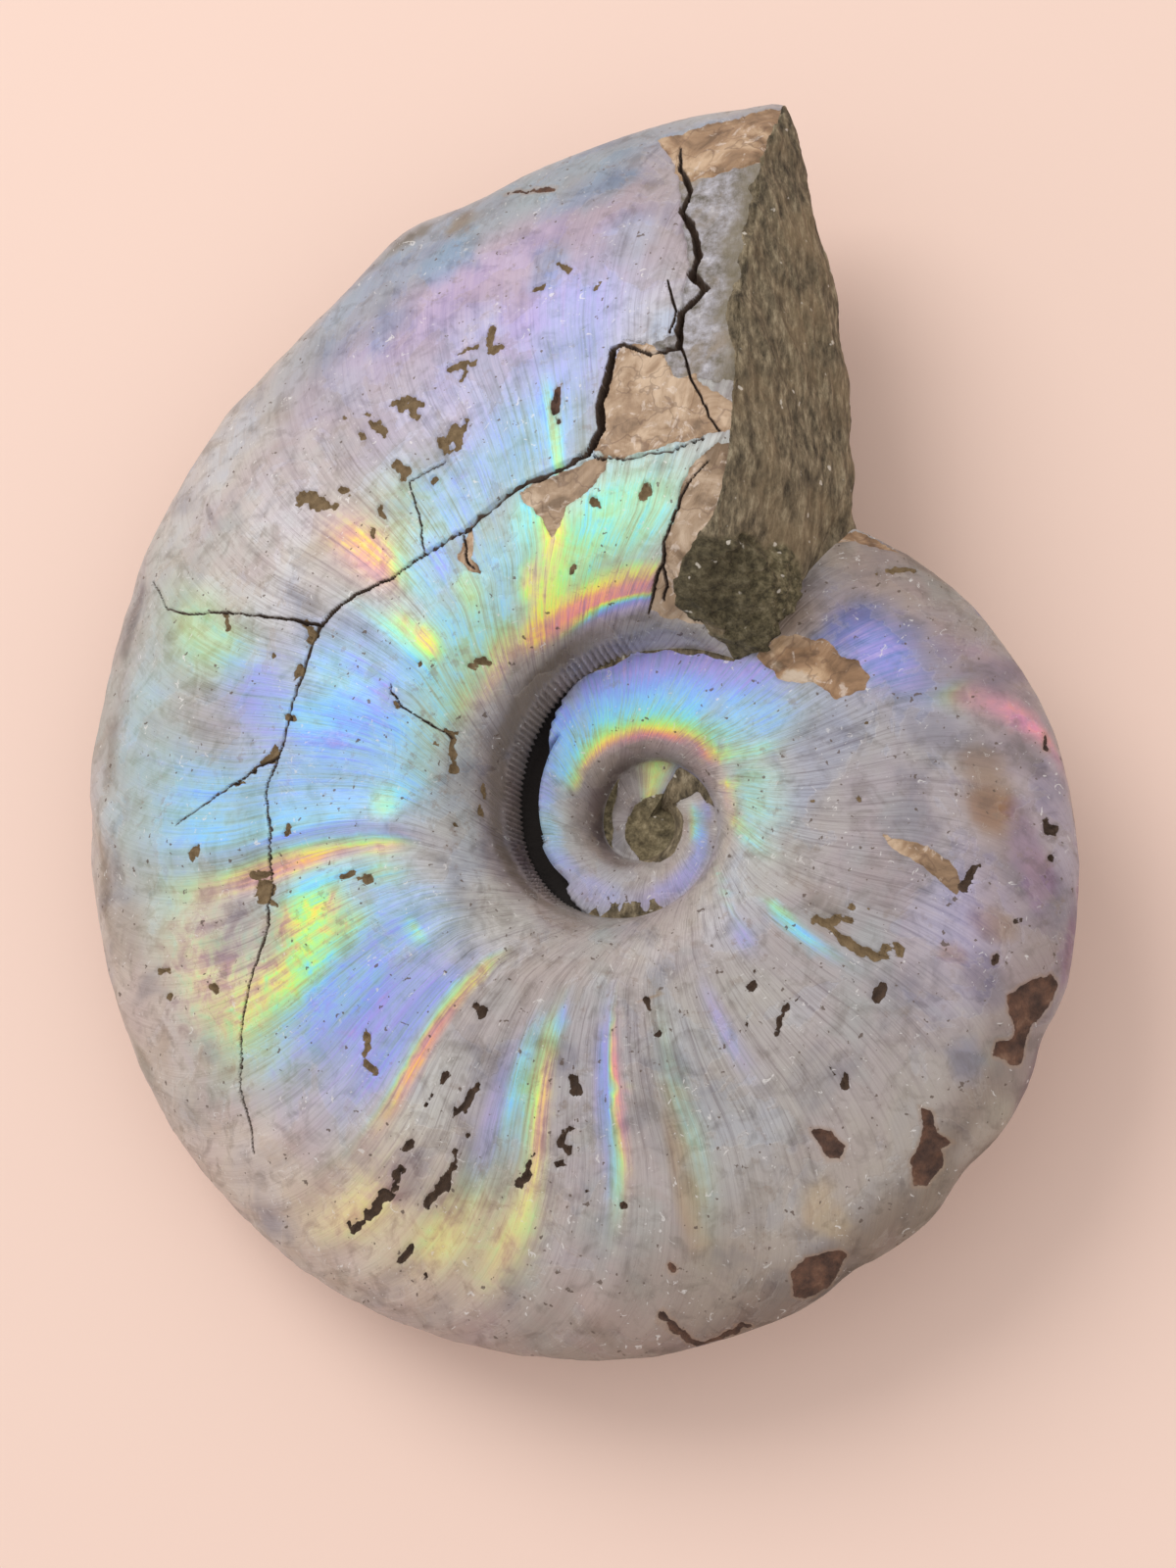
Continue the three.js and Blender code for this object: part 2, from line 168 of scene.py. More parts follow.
# Pits and scars of the lower side: coil and flank angle, length, width (mm) and turn.
LOWER_PITS = [
    (118, 42, 5.4, 3.0, 30), (170, 60, 4.4, 2.4, 70), (214, 20, 3.6, 2.2, 10),
    (262, 58, 4.2, 2.4, 50), (318, 40, 4.4, 2.2, 80), (352, 66, 3.6, 2.2, 40),
    (98, 12, 2.2, 1.3, 20), (142, 34, 1.8, 1.3, 0), (160, 8, 2.4, 1.0, 60), (186, 44, 1.4, 2.2, 0),
    (236, 40, 2.6, 1.0, 70), (288, 32, 2.0, 1.0, 0), (300, 12, 1.8, 1.2, 40),
    (336, 18, 1.4, 2.4, 0), (384, 42, 3.2, 1.4, 10), (130, -22, 2.4, 1.4, 0),
]
LOWER_RUST = [
    (268, 70, 4.0, 2.0, 30), (304, 66, 3.6, 2.6, 0), (344, 58, 3.0, 1.8, 50),
    (208, 70, 3.0, 1.4, 0),
]

# Pits and scars of the upper side, where stone shows through the shell. Each is a ragged stroke:
# pixels of the 1200 x 1600 photograph that it passes through, and its width there in millimetres.
PHOTO_SCARS = [
    [(461, 443, 3.3)], [(306, 505, 1.0), (314, 511, 2.4), (324, 516, 2.3), (334, 519, 1.3),
                        (343, 519, 0.7)],
    [(344, 498, 0.5), (354, 503, 1.1), (360, 507, 0.4)], [(404, 471, 1.3), (412, 480, 1.5)],
    [(441, 486, 1.5)], [(388, 520, 1.2), (394, 530, 1.2)], [(379, 543, 1.0), (381, 549, 0.7)],
    [(387, 430, 0.8), (391, 440, 1.0)], [(459, 375, 1.4), (470, 371, 1.3), (482, 368, 1.0)],
    [(466, 362, 0.6), (476, 356, 0.8), (486, 352, 0.6)], [(474, 380, 0.9), (470, 386, 0.6)],
    [(497, 350, 1.1), (503, 336, 1.0)], [(503, 356, 1.3), (510, 356, 0.8)],
    [(403, 410, 0.8), (415, 405, 1.2), (424, 409, 1.0)],
    [(409, 416, 0.9), (421, 414, 1.4), (431, 412, 0.8)], [(420, 421, 1.2), (428, 427, 0.7)],
    [(378, 431, 0.8), (386, 437, 1.1)], [(364, 441, 0.6), (372, 447, 0.8)],
    [(372, 421, 0.6), (377, 425, 0.6)], [(350, 425, 0.6), (354, 429, 0.6)],
    [(568, 268, 0.6), (580, 276, 0.9)], [(541, 297, 1.1), (553, 293, 1.1)],
    [(608, 292, 0.8), (613, 285, 0.9)], [(654, 506, 1.1), (659, 500, 1.3)],
    [(604, 512, 0.8), (612, 517, 0.8)], [(583, 583, 0.6), (587, 578, 0.6)],
    [(455, 745, 0.6), (462, 752, 1.1), (461, 762, 0.8), (464, 774, 1.0), (465, 784, 1.3)],
    [(457, 746, 0.7), (467, 748, 0.6)], [(445, 757, 0.8)], [(488, 675, 0.9), (497, 677, 1.6)],
    [(480, 681, 0.8)], [(484, 688, 0.9)], [(401, 714, 0.5), (405, 722, 0.5)],
    [(494, 800, 0.7), (496, 814, 0.7)], [(491, 822, 0.6), (492, 830, 0.7)], [(466, 841, 0.8)],
    [(429, 679, 0.6)], [(232, 630, 1.0), (233, 642, 1.0)], [(277, 670, 0.9)],
    [(314, 640, 1.1), (321, 648, 1.3), (317, 654, 0.8)], [(307, 682, 1.1), (304, 692, 1.3)],
    [(294, 730, 1.2), (299, 733, 0.6)], [(266, 780, 0.8), (276, 772, 1.1), (281, 765, 0.8)],
    [(259, 786, 0.8)], [(240, 802, 0.7), (246, 797, 0.7)], [(198, 876, 1.1), (205, 868, 1.2)],
    [(258, 893, 0.9), (271, 891, 0.8)], [(262, 907, 2.4), (273, 906, 2.1), (268, 916, 1.7)],
    [(278, 920, 0.9), (281, 924, 0.6)], [(348, 894, 0.5), (360, 893, 1.1), (372, 897, 1.2)],
    [(295, 845, 0.6), (299, 850, 1.0)], [(164, 992, 0.7), (170, 990, 0.8)],
    [(215, 1006, 0.8), (223, 1010, 1.1)], [(174, 1016, 0.8)],
    [(372, 1056, 1.0), (380, 1066, 1.1), (374, 1074, 0.9)], [(378, 1086, 1.0), (382, 1097, 0.9)],
    [(832, 939, 1.0), (846, 941, 1.0), (858, 937, 1.0), (868, 938, 0.8)],
    [(846, 944, 0.8), (858, 956, 1.0), (868, 962, 0.9), (880, 970, 1.0), (893, 975, 1.1),
     (904, 978, 1.0)],
    [(895, 975, 0.8), (904, 968, 0.9)], [(911, 979, 1.0), (918, 968, 0.9), (914, 962, 0.6)],
    [(866, 926, 0.7), (872, 927, 0.6)], [(884, 927, 0.7)],
    [(906, 582, 0.9), (918, 583, 1.3), (932, 582, 1.0)], [(895, 585, 0.7)],
    [(885, 736, 0.8)], [(932, 797, 0.7)], [(945, 809, 0.6)], [(874, 815, 0.8)], [(829, 818, 0.6)],
]
PHOTO_DARK_SCARS = [
    [(486, 1024, 0.9), (494, 1032, 1.2)], [(489, 1108, 1.0), (480, 1120, 1.2), (468, 1134, 1.1)],
    [(457, 1096, 0.8), (452, 1104, 0.6)], [(441, 1119, 0.7), (434, 1128, 0.7)],
    [(423, 1165, 0.8), (413, 1174, 1.2)], [(410, 1190, 1.1), (404, 1200, 1.4)],
    [(403, 1208, 1.4), (392, 1222, 1.7), (383, 1234, 1.6), (374, 1247, 1.3), (364, 1254, 0.9)],
    [(357, 1247, 0.8)], [(468, 1176, 1.1), (464, 1190, 1.2)],
    [(460, 1203, 1.3), (448, 1217, 1.6), (440, 1226, 1.1)], [(479, 1160, 0.6)],
    [(543, 1178, 0.7), (538, 1188, 0.6)], [(537, 1199, 1.0), (530, 1207, 0.9)],
    [(584, 1098, 1.0), (592, 1110, 1.4), (585, 1116, 0.8)],
    [(588, 1150, 0.8), (578, 1155, 0.9), (571, 1166, 0.8)],
    [(582, 1172, 0.9), (575, 1182, 1.0), (568, 1190, 0.7)], [(421, 1272, 1.0), (412, 1286, 1.0)],
    [(433, 1301, 0.8)], [(598, 1213, 0.6)], [(770, 992, 0.6), (766, 1008, 0.9)],
    [(818, 1012, 0.5), (808, 1022, 0.8), (802, 1030, 0.6)], [(798, 1036, 0.8), (791, 1052, 0.7)],
    [(902, 1010, 1.0), (895, 1020, 1.2)], [(869, 1001, 0.7)], [(759, 1049, 0.6), (764, 1040, 0.5)],
    [(659, 1018, 0.7), (662, 1030, 0.6)], [(673, 1056, 0.7)], [(847, 1089, 0.7), (851, 1095, 0.6)],
    [(862, 1098, 1.0), (864, 1109, 1.0)], [(639, 1230, 0.8)],
    [(1001, 884, 0.8), (993, 888, 1.1), (990, 896, 1.4), (985, 903, 1.2)],
    [(1014, 981, 1.0), (1020, 977, 0.7)], [(1072, 844, 1.6)], [(1074, 876, 1.0)],
    [(1037, 937, 0.7), (1044, 937, 0.6)],
]

# Iron stain where the shell is eaten away: strokes and outlines in pixels of the photograph.
PHOTO_RUST_STROKES = [
    [(676, 1340, 0.9), (688, 1352, 1.0), (700, 1366, 1.1), (716, 1373, 1.4), (734, 1366, 1.3),
     (752, 1357, 1.8), (760, 1356, 1.0)],
    [(685, 1294, 1.0)], [(568, 396, 1.0), (567, 412, 1.2), (568, 430, 0.9)], [(1015, 979, 0.9)],
    [(516, 197, 0.6), (536, 195, 0.9), (566, 193, 0.6)], [(1066, 750, 0.5), (1067, 765, 0.6)],
]
PHOTO_RUST = [
    [(1029, 1016), (1049, 1001), (1072, 995), (1079, 1007), (1071, 1031), (1057, 1047),
     (1050, 1064), (1044, 1085), (1031, 1090), (1014, 1078), (1018, 1065), (1033, 1062),
     (1039, 1050), (1028, 1033)],
    [(939, 1131), (949, 1131), (957, 1154), (972, 1166), (961, 1175), (963, 1191), (948, 1210),
     (935, 1211), (929, 1184), (939, 1169), (941, 1151)],
    [(828, 1153), (847, 1155), (861, 1168), (859, 1182), (846, 1181), (837, 1169)],
    [(808, 1297), (823, 1284), (861, 1278), (867, 1285), (848, 1316), (829, 1323), (810, 1323)],
]

# Soft stains of the shell, and painted shade along the lower rim: pixel, half-widths along the
# coil and across it (mm), and colour.
PHOTO_STAINS_AND_SHADE = [
    (1011, 823, 2.3, 2.4, (0.57, 0.42, 0.29)), (1003, 776, 1.4, 2.6, (0.53, 0.44, 0.4)),
    (1011, 942, 1.6, 2.4, (0.57, 0.46, 0.38)), (974, 976, 1.0, 1.6, (0.66, 0.53, 0.39)),
    (690, 1165, 1.4, 5.0, (0.66, 0.56, 0.46)), (704, 1232, 1.5, 5.0, (0.66, 0.56, 0.46)),
    (842, 1236, 2.2, 4.0, (0.7, 0.61, 0.5)), (1004, 1165, 5.0, 3.0, (0.66, 0.62, 0.56)),
    (1000, 1000, 2.4, 2.6, (0.47, 0.43, 0.46)), (984, 1086, 2.2, 2.0, (0.5, 0.5, 0.56)),
    (870, 640, 2.6, 4.6, (0.36, 0.38, 0.56)), (905, 660, 2.4, 4.0, (0.42, 0.42, 0.55)),
    (1010, 690, 2.0, 4.0, (0.5, 0.44, 0.5)), (1045, 860, 4.0, 1.8, (0.6, 0.5, 0.58)),
    (480, 440, 4.0, 3.0, (0.72, 0.72, 0.8)), (330, 470, 5.0, 5.0, (0.78, 0.75, 0.73)),
    (240, 560, 6.0, 5.0, (0.8, 0.77, 0.74)), (160, 760, 5.0, 5.0, (0.72, 0.7, 0.68)),
    (460, 265, 4.0, 4.0, (0.5, 0.6, 0.68)), (600, 195, 6.0, 3.0, (0.53, 0.58, 0.64)),
    (530, 320, 3.0, 5.0, (0.7, 0.62, 0.74)), (640, 245, 3.4, 4.0, (0.66, 0.68, 0.76)),
    (400, 330, 3.6, 3.0, (0.52, 0.58, 0.68)), (345, 400, 3.6, 3.2, (0.66, 0.64, 0.68)),
    (560, 270, 3.0, 3.4, (0.58, 0.64, 0.74)), (680, 330, 2.4, 3.0, (0.7, 0.72, 0.78)),
    # The narrow bands on the next four lines whose pixel y is 1100 or more are painted shade along
    # the lower rim.
    (860, 1318, 6.0, 1.6, (0.42, 0.36, 0.31)), (945, 1262, 5.0, 1.5, (0.44, 0.39, 0.34)),
    (1010, 1195, 5.0, 1.4, (0.46, 0.4, 0.35)), (775, 1366, 5.0, 1.5, (0.46, 0.39, 0.34)),
    (1062, 1100, 4.0, 1.3, (0.46, 0.38, 0.4)), (1092, 970, 5.0, 1.2, (0.56, 0.44, 0.5)),
    (660, 1384, 5.0, 1.4, (0.5, 0.44, 0.39)), (106, 900, 6.0, 1.2, (0.58, 0.51, 0.45)),
    (114, 770, 5.0, 1.2, (0.58, 0.52, 0.47)), (136, 640, 5.0, 1.2, (0.54, 0.49, 0.45)),
    (150, 1090, 6.0, 1.3, (0.6, 0.55, 0.5)), (420, 250, 4.0, 1.2, (0.44, 0.41, 0.36)),
    (1040, 760, 3.0, 2.0, (0.5, 0.45, 0.48)), (950, 740, 3.0, 4.0, (0.64, 0.62, 0.66)),
    (1060, 900, 4.0, 1.8, (0.66, 0.52, 0.6)), (905, 900, 4.0, 4.0, (0.64, 0.6, 0.6)),
    (470, 228, 3.0, 2.0, (0.5, 0.45, 0.38)), (940, 560, 6.0, 2.2, (0.55, 0.47, 0.42)),
    (500, 940, 5.0, 5.0, (0.74, 0.71, 0.68)), (560, 1020, 5.0, 4.0, (0.7, 0.66, 0.64)),
    (130, 950, 4.0, 3.0, (0.66, 0.6, 0.56)), (200, 1120, 4.0, 4.0, (0.72, 0.68, 0.65)),
]

# Places where the shell's outer coat is gone and calcite shows: outline and tone, 0 brown, 1 pale.
UPPER_CALCITE = [
    (0.25, [(80, 80), (84, 73), (90.4, 70), (88.4, 62), (87.6, 57), (84, 55.6), (82.6, 57.6),
            (80, 58)]),
    (0.4, [(91, 30), (93, 22), (94, 13), (90, 10), (84, 10.4), (78, 12), (73, 14), (70, 17),
           (74, 19), (77, 20.4), (80, 23.6), (83, 23.6), (87, 29)]),
    (0.55, [(91, 11.4), (108.4, 11.4), (106.6, 7), (105, 0), (104, -5), (101.6, -3), (99.6, 0.4),
            (95, 4.6), (92, 8)]),
    (0.62, [(73, 12), (75.6, 8), (76.6, -6), (77.6, -26), (80, -38), (80.8, -50), (77, -56),
            (60, -62), (60, 12)]),
    (0.1, [(386.8, 36), (389, 38.6), (393, 39), (396, 36.5), (399, 37.6), (403, 36.8),
           (404, 33.8), (410, 32.6), (412, 29), (409, 24), (402, 21.4), (398, 23.4), (395, 27),
           (387, 28.6)]),
    (0.75, [(393.4, 27.6), (397, 30), (404, 29.6), (409.6, 28), (408, 23.4), (402, 21.6),
            (397.4, 23)]),
    (0.35, [(344.6, 47), (347, 47.2), (350, 44), (352, 38), (352.6, 29.6), (350.6, 31),
            (348.6, 37), (346, 43.4)]),
    (0.3, [(118.6, 13), (123.4, 8), (123.2, 0), (121, -1.6), (121.4, 5)]),
]
# More of it by the foot of the stone, in pixels of the photograph.
PHOTO_CALCITE = [
    (0.3, [(770, 668), (790, 650), (812, 646), (832, 654), (824, 668), (802, 668), (790, 684),
           (776, 678)]),
    (0.2, [(850, 546), (872, 540), (900, 548), (924, 560), (900, 560), (868, 552)]),
]
LOWER_CALCITE = [
    (0.3, [(78, 70), (92, 62), (96, 46), (88, 34), (78, 38)]),
    (0.5, [(70, 20), (86, 14), (90, -4), (80, -30), (62, -50), (60, 18)]),
    (0.2, [(224, 64), (238, 60), (240, 48), (230, 40), (222, 50)]),
]

# Where the nacre has come off beside the mouth and left a grey, pitted underlayer.
BARE_UPPER = [
    (70, 24), (77, 22), (83.4, 24), (87.4, 29.6), (91, 31), (86.4, 28.6), (83.6, 30), (84, 40),
    (86.4, 50), (88, 60), (84, 57), (79.6, 59), (74, 62), (68, 50),
]
BARE_LOWER = [(60, 78), (86, 74), (98, 58), (94, 30), (84, 26), (60, 20)]

# Crumbs of stone along the seam of the inner whorl: coil angle, half-width (degrees), reach (mm).
SEAM_CRUMBS = [
    (432, 6, 0.75), (445, 5, 0.5), (460, 7, 0.6), (421, 7, 0.6), (606, 3, 0.9), (616, 5, 1.2),
    (627, 7, 1.9), (641, 4, 1.1), (741, 8, 1.2), (752, 9, 2.9), (762, 9, 3.4), (771, 9, 2.9),
]

# Open crevices under the shoulder on the upper side: where they lie, their depth and width (mm).
CREVICES = [
    {"middle": 176, "half": 84, "depth": 2.7, "width": 1.75, "from": (474, 506), "to": (566, 604)},
    {"middle": 522, "half": 58, "depth": 1.0, "width": 1.15, "from": (478, 505), "to": (545, 582)},
]

# The stone disc in the middle, in the coil's frame.
DISC = {"x": 1.1, "y": -0.8, "rx": 3.2, "ry": 3.75, "sunk": 0.45}

# The rough stone of the broken mouth, and the lobes of its coarse lump: centre in the coil's
# frame, radius, how far it stands out (mm) and how dark it is.
STONE = {"bulge": 1.7, "grain": 0.62, "crumb": 1.25}
LOBES = [
    ((10.6, 22.4, 13.5), 5.2, 3.2, 1.0), ((16.6, 21.4, 11.0), 4.6, 3.0, 0.0),
    ((13.2, 18.8, 9.5), 4.0, 1.6, 0.6),
]
HOLLOW = ((13.9, 25.4, 13.5), 2.3, 1.9)
FACE_TURN = 70
WORN_EDGE = {"depth": 0.6, "width": 0.8}

# Iridescence, painted into the base colour as a fixed sheen: places by coil and flank angle,
# half-widths, phase along the spectrum (0 pink, 0.3 yellow, 0.5 green, 0.7 blue, 1 lilac),
# strength and how patchy it is.
UPPER_PAINTED_SHEEN = [
    # A painted glint on the nacre ring round the middle stone.
    (438, -86, 13, 7, 0.36, 1.0, 0.3),
    (84, -8, 8, 14, 0.52, 0.8, 0.1), (95, -10, 7, 14, 0.5, 0.85, 0.15),
    (88, -30, 13, 4.5, 0.27, 0.95, 0.1), (92, -37, 16, 4.5, 0.05, 1.0, 0.05),
    (106, -39, 9, 5, 0.08, 1.0, 0.05), (88, -45, 12, 3.5, 0.98, 0.8, 0.05),
    (103.5, -4, 2.6, 8, 0.23, 0.95, 0.15), (106, -20, 4, 11, 0.34, 1.0, 0.12),
    (111, -28, 4, 9, 0.27, 1.0, 0.1), (116, -35, 5, 6, 0.18, 0.85, 0.2),
    (97.5, -16, 4, 8, 0.44, 0.75, 0.3), (108, 3, 3, 8, 0.55, 0.85, 0.05),
    (112, -14, 2.4, 6, 0.2, 0.8, 0.1), (118, -5, 8, 18, 0.62, 0.5, 0.1),
    (125.5, -4, 2.5, 6, 0.36, 0.55, 0.3), (128, 9, 3, 6, 0.78, 0.65, 0.2),
    (136, -8, 6, 12, 0.56, 0.5, 0.15), (140, -2.5, 2, 4, 0.16, 1.0, 0.1),
    (140.4, 7, 2, 5, 0.36, 0.85, 0.2), (143, 6, 1.3, 10, 0.52, 0.95, 0.05),
    (135.5, 24, 3, 7, 0.13, 0.75, 0.25), (132, 12, 3, 6, 0.6, 0.6, 0.2),
    (150, 12, 5, 12, 0.8, 0.55, 0.15), (148, 2, 4, 8, 0.66, 0.6, 0.1),
    (154, 17, 4, 7, 0.64, 0.75, 0.15), (163, 18, 3.4, 8, 0.66, 1.0, 0.05),
    (162, 6, 6, 12, 0.74, 0.95, 0.05), (169, 12, 5, 14, 0.75, 0.9, 0.08),
    (176, 15, 5, 16, 0.73, 0.85, 0.08), (181.5, 24, 2.6, 15, 0.67, 0.95, 0.05),
    (173, -4, 7, 9, 0.66, 0.6, 0.05), (179, -1, 3, 3.4, 0.34, 0.7, 0.2),
    (176, -5, 1.6, 3, 0.36, 0.5, 0.1), (186, 8, 1.8, 24, 0.97, 0.25, 0.02),
    (188, 24, 1.7, 14, 0.1, 0.8, 0.15), (189, 3, 2, 6, 0.12, 0.5, 0.1),
    (193, 20, 1.8, 8, 0.64, 1.0, 0.05), (197.5, 25, 3, 6, 0.3, 1.0, 0.45),
    (203, 24, 3.4, 8, 0.37, 0.95, 0.45), (206.5, 36, 3, 8, 0.2, 0.65, 0.4),
    (202, 46, 10, 8, 0.25, 0.35, 0.45), (213, 25, 6.5, 16, 0.76, 0.8, 0.2),
    (222, 22, 4, 17, 0.84, 0.75, 0.05), (226.4, 20, 2.4, 18, 0.8, 0.8, 0.05),
    (204, 6, 8, 8, 0.76, 0.6, 0.15), (210, -4, 10, 9, 0.7, 0.3, 0.1),
    (212, 5, 3, 2.6, 0.22, 0.55, 0.4), (196, 5, 3, 6, 0.3, 0.35, 0.3),
    (172, 56, 14, 10, 0.62, 0.2, 0.1), (156.6, 46, 4, 10, 0.42, 0.35, 0.15),
    (103, 20, 7, 7, 0.72, 0.85, 0.08), (117, 19, 8, 6, 0.74, 0.65, 0.15),
    (97, 34, 5, 9, 0.8, 0.5, 0.08), (100.4, 18, 0.9, 7, 0.22, 0.7, 0.3),
    (126, 22, 5, 8, 0.5, 0.4, 0.3), (108, 38, 12, 8, 0.92, 0.35, 0.08),
    (112, 52, 14, 6, 0.97, 0.3, 0.1), (162, 33, 5, 6, 0.8, 0.55, 0.1),
    (178, 38, 6, 8, 0.66, 0.65, 0.1), (165, -12, 10, 10, 0.58, 0.45, 0.05),
    (150, -15, 10, 10, 0.52, 0.45, 0.1), (132, -20, 9, 7, 0.47, 0.45, 0.3),
    (128, -28, 7, 5, 0.26, 0.45, 0.3), (133, -35, 10, 4, 0.12, 0.3, 0.2),
    (145, -26, 6, 5, 0.3, 0.25, 0.3), (231.4, 23, 1.1, 13, 0.1, 0.85, 0.08),
    (231.6, 2, 1.4, 8, 0.25, 0.6, 0.2), (229.8, 11, 1.2, 6, 0.46, 0.65, 0.1),
    (236, 53, 4, 11, 0.25, 0.3, 0.15), (247, 52, 4, 10, 0.3, 0.35, 0.15),
    (251, 22, 1.6, 12, 0.62, 0.85, 0.15), (256.6, 25, 1.3, 13, 0.2, 0.8, 0.1),
    (254, 20, 1.2, 13, 0.46, 0.75, 0.15), (248, 28, 1.6, 11, 0.9, 0.5, 0.05),
    (256.6, 8, 1.2, 8, 0.8, 0.5, 0.05), (256, 50, 3, 10, 0.28, 0.35, 0.15),
    (268, 20, 1.4, 15, 0.84, 0.85, 0.05), (271, 22, 0.9, 12, 0.08, 0.85, 0.1),
    (270.6, 37, 1.1, 8, 0.48, 0.5, 0.1), (283, 30, 2, 18, 0.5, 0.25, 0.1),
    # The second entry on the next line is a painted highlight on a fold.
    (296, 18, 2, 12, 0.85, 0.4, 0.05), (324, 16, 1.4, 9, 0.62, 1.0, 0.15),
    (326, 8, 1.1, 6, 0.5, 0.8, 0.2), (313, 3, 3, 6, 0.85, 0.5, 0.05),
    (321.5, -25, 1.1, 16, 0.5, 0.4, 0.05), (346, -18, 4, 12, 0.5, 0.5, 0.1),
    (360, -15, 8, 12, 0.54, 0.5, 0.1), (373, -12, 6, 10, 0.56, 0.55, 0.1),
    (351.6, -31, 3, 7, 0.3, 0.5, 0.1), (374, -34, 2.6, 8, 0.26, 0.7, 0.1),
    (366, -39, 8, 5, 0.12, 0.3, 0.1), (384, -8, 3, 12, 0.5, 0.6, 0.08),
    (390, -23, 3.4, 9, 0.4, 0.8, 0.05), (395.5, -30, 5, 4.5, 0.27, 0.95, 0.05),
    (400, -38, 9, 4, 0.08, 0.95, 0.05), (391, 6, 7, 14, 0.68, 0.6, 0.08),
    (402, 4, 9, 12, 0.71, 0.9, 0.05), (398, -12, 6, 8, 0.57, 0.85, 0.05),
    (408, -19, 8, 6, 0.5, 1.0, 0.05), (409, -27, 8, 3.4, 0.3, 1.0, 0.03),
    (407, 17, 7, 6, 0.84, 0.7, 0.05), (392, 44, 9, 8, 0.84, 0.6, 0.1),
    (374, 70, 2.4, 12, 0.04, 0.6, 0.15), (340, 46, 12, 9, 0.93, 0.25, 0.1),
    (425, 15, 14, 6, 0.88, 0.9, 0.04), (424, 4, 12, 7, 0.76, 0.95, 0.04),
    (424, -7, 12, 6, 0.66, 1.0, 0.04), (425, -16, 12, 5, 0.56, 1.0, 0.04),
    (427, -23, 12, 4, 0.42, 1.0, 0.04), (427, -28, 12, 3, 0.29, 1.0, 0.03),
    (427, -33, 12, 3, 0.16, 1.0, 0.03), (425, -38.5, 12, 3, 0.04, 0.95, 0.03),
    (448, 13, 14, 7, 0.86, 0.9, 0.05), (448, 2, 13, 7, 0.75, 1.0, 0.05),
    (448, -9, 13, 6, 0.64, 1.0, 0.05), (448, -17, 13, 4.5, 0.55, 1.0, 0.05),
    (448, -23, 13, 3.5, 0.42, 1.0, 0.04), (448, -28, 13, 3, 0.28, 1.0, 0.03),
    (448, -33, 13, 3, 0.12, 1.0, 0.03), (448, -38, 13, 2.6, 0.03, 0.9, 0.03),
    (468, 12, 9, 7, 0.82, 0.9, 0.05), (470, 2, 9, 7, 0.72, 1.0, 0.05),
    (470, -9, 9, 6, 0.6, 1.0, 0.08), (471, -17, 9, 4.5, 0.48, 1.0, 0.05),
    (472, -22, 9, 3.4, 0.36, 1.0, 0.04), (473, -27, 9, 3, 0.22, 1.0, 0.03),
    (473, -32, 9, 3, 0.08, 0.9, 0.03), (488, 6, 8, 9, 0.76, 1.0, 0.05),
    (490, -7, 8, 7, 0.66, 1.0, 0.1), (491, -17, 8, 5, 0.54, 0.9, 0.1),
    (489, -24, 7, 4, 0.36, 0.8, 0.1), (491, -30, 8, 4, 0.12, 0.5, 0.05),
    (506, 2, 10, 8, 0.78, 0.9, 0.05), (506, -11, 9, 7, 0.66, 0.9, 0.08),
    (508, -22, 7, 5, 0.48, 0.65, 0.1), (509, -29, 6, 4, 0.28, 0.5, 0.1),
    (525, -2, 10, 8, 0.86, 0.7, 0.03), (542, -6, 14, 9, 0.66, 0.55, 0.04),
    (562, 0, 14, 8, 0.76, 0.45, 0.04), (585, -4, 16, 10, 0.84, 0.3, 0.04),
    (606, 0, 16, 10, 0.9, 0.35, 0.03), (648, 2, 18, 9, 0.9, 0.5, 0.03),
    (672, 2, 14, 9, 0.86, 0.55, 0.04), (692, 0, 12, 8, 0.8, 0.6, 0.05),
    (706, -6, 10, 5, 0.68, 0.65, 0.05), (711, -11, 10, 3.6, 0.5, 0.6, 0.05),
    (712, -15, 10, 3, 0.3, 0.5, 0.05), (724, -8, 8, 5, 0.62, 0.6, 0.05),
    (728, -14, 8, 3, 0.4, 0.5, 0.05), (726, 2, 8, 5, 0.85, 0.6, 0.04),
]
LOWER_PAINTED_SHEEN = [
    (96, -8, 12, 18, 0.55, 0.7, 0.15), (112, -30, 14, 6, 0.2, 0.7, 0.15),
    (130, 8, 16, 16, 0.74, 0.65, 0.15), (165, 20, 18, 18, 0.7, 0.75, 0.15),
    (196, 30, 12, 14, 0.35, 0.6, 0.4), (222, 12, 16, 18, 0.82, 0.5, 0.1),
    (250, 30, 10, 14, 0.5, 0.35, 0.2), (300, 10, 16, 16, 0.9, 0.3, 0.1),
    (345, -20, 14, 14, 0.52, 0.4, 0.1), (372, 10, 14, 16, 0.66, 0.5, 0.1),
    (398, -24, 12, 8, 0.25, 0.6, 0.05), (402, 0, 14, 12, 0.7, 0.7, 0.05),
    (430, 6, 30, 12, 0.8, 0.8, 0.05), (440, -12, 30, 8, 0.62, 0.9, 0.05),
    (440, -24, 28, 6, 0.42, 0.9, 0.05), (440, -32, 28, 5, 0.15, 0.8, 0.05),
    (500, 0, 20, 12, 0.76, 0.6, 0.05), (600, 0, 60, 14, 0.86, 0.35, 0.05),
    (706, -8, 30, 10, 0.6, 0.5, 0.05),
]
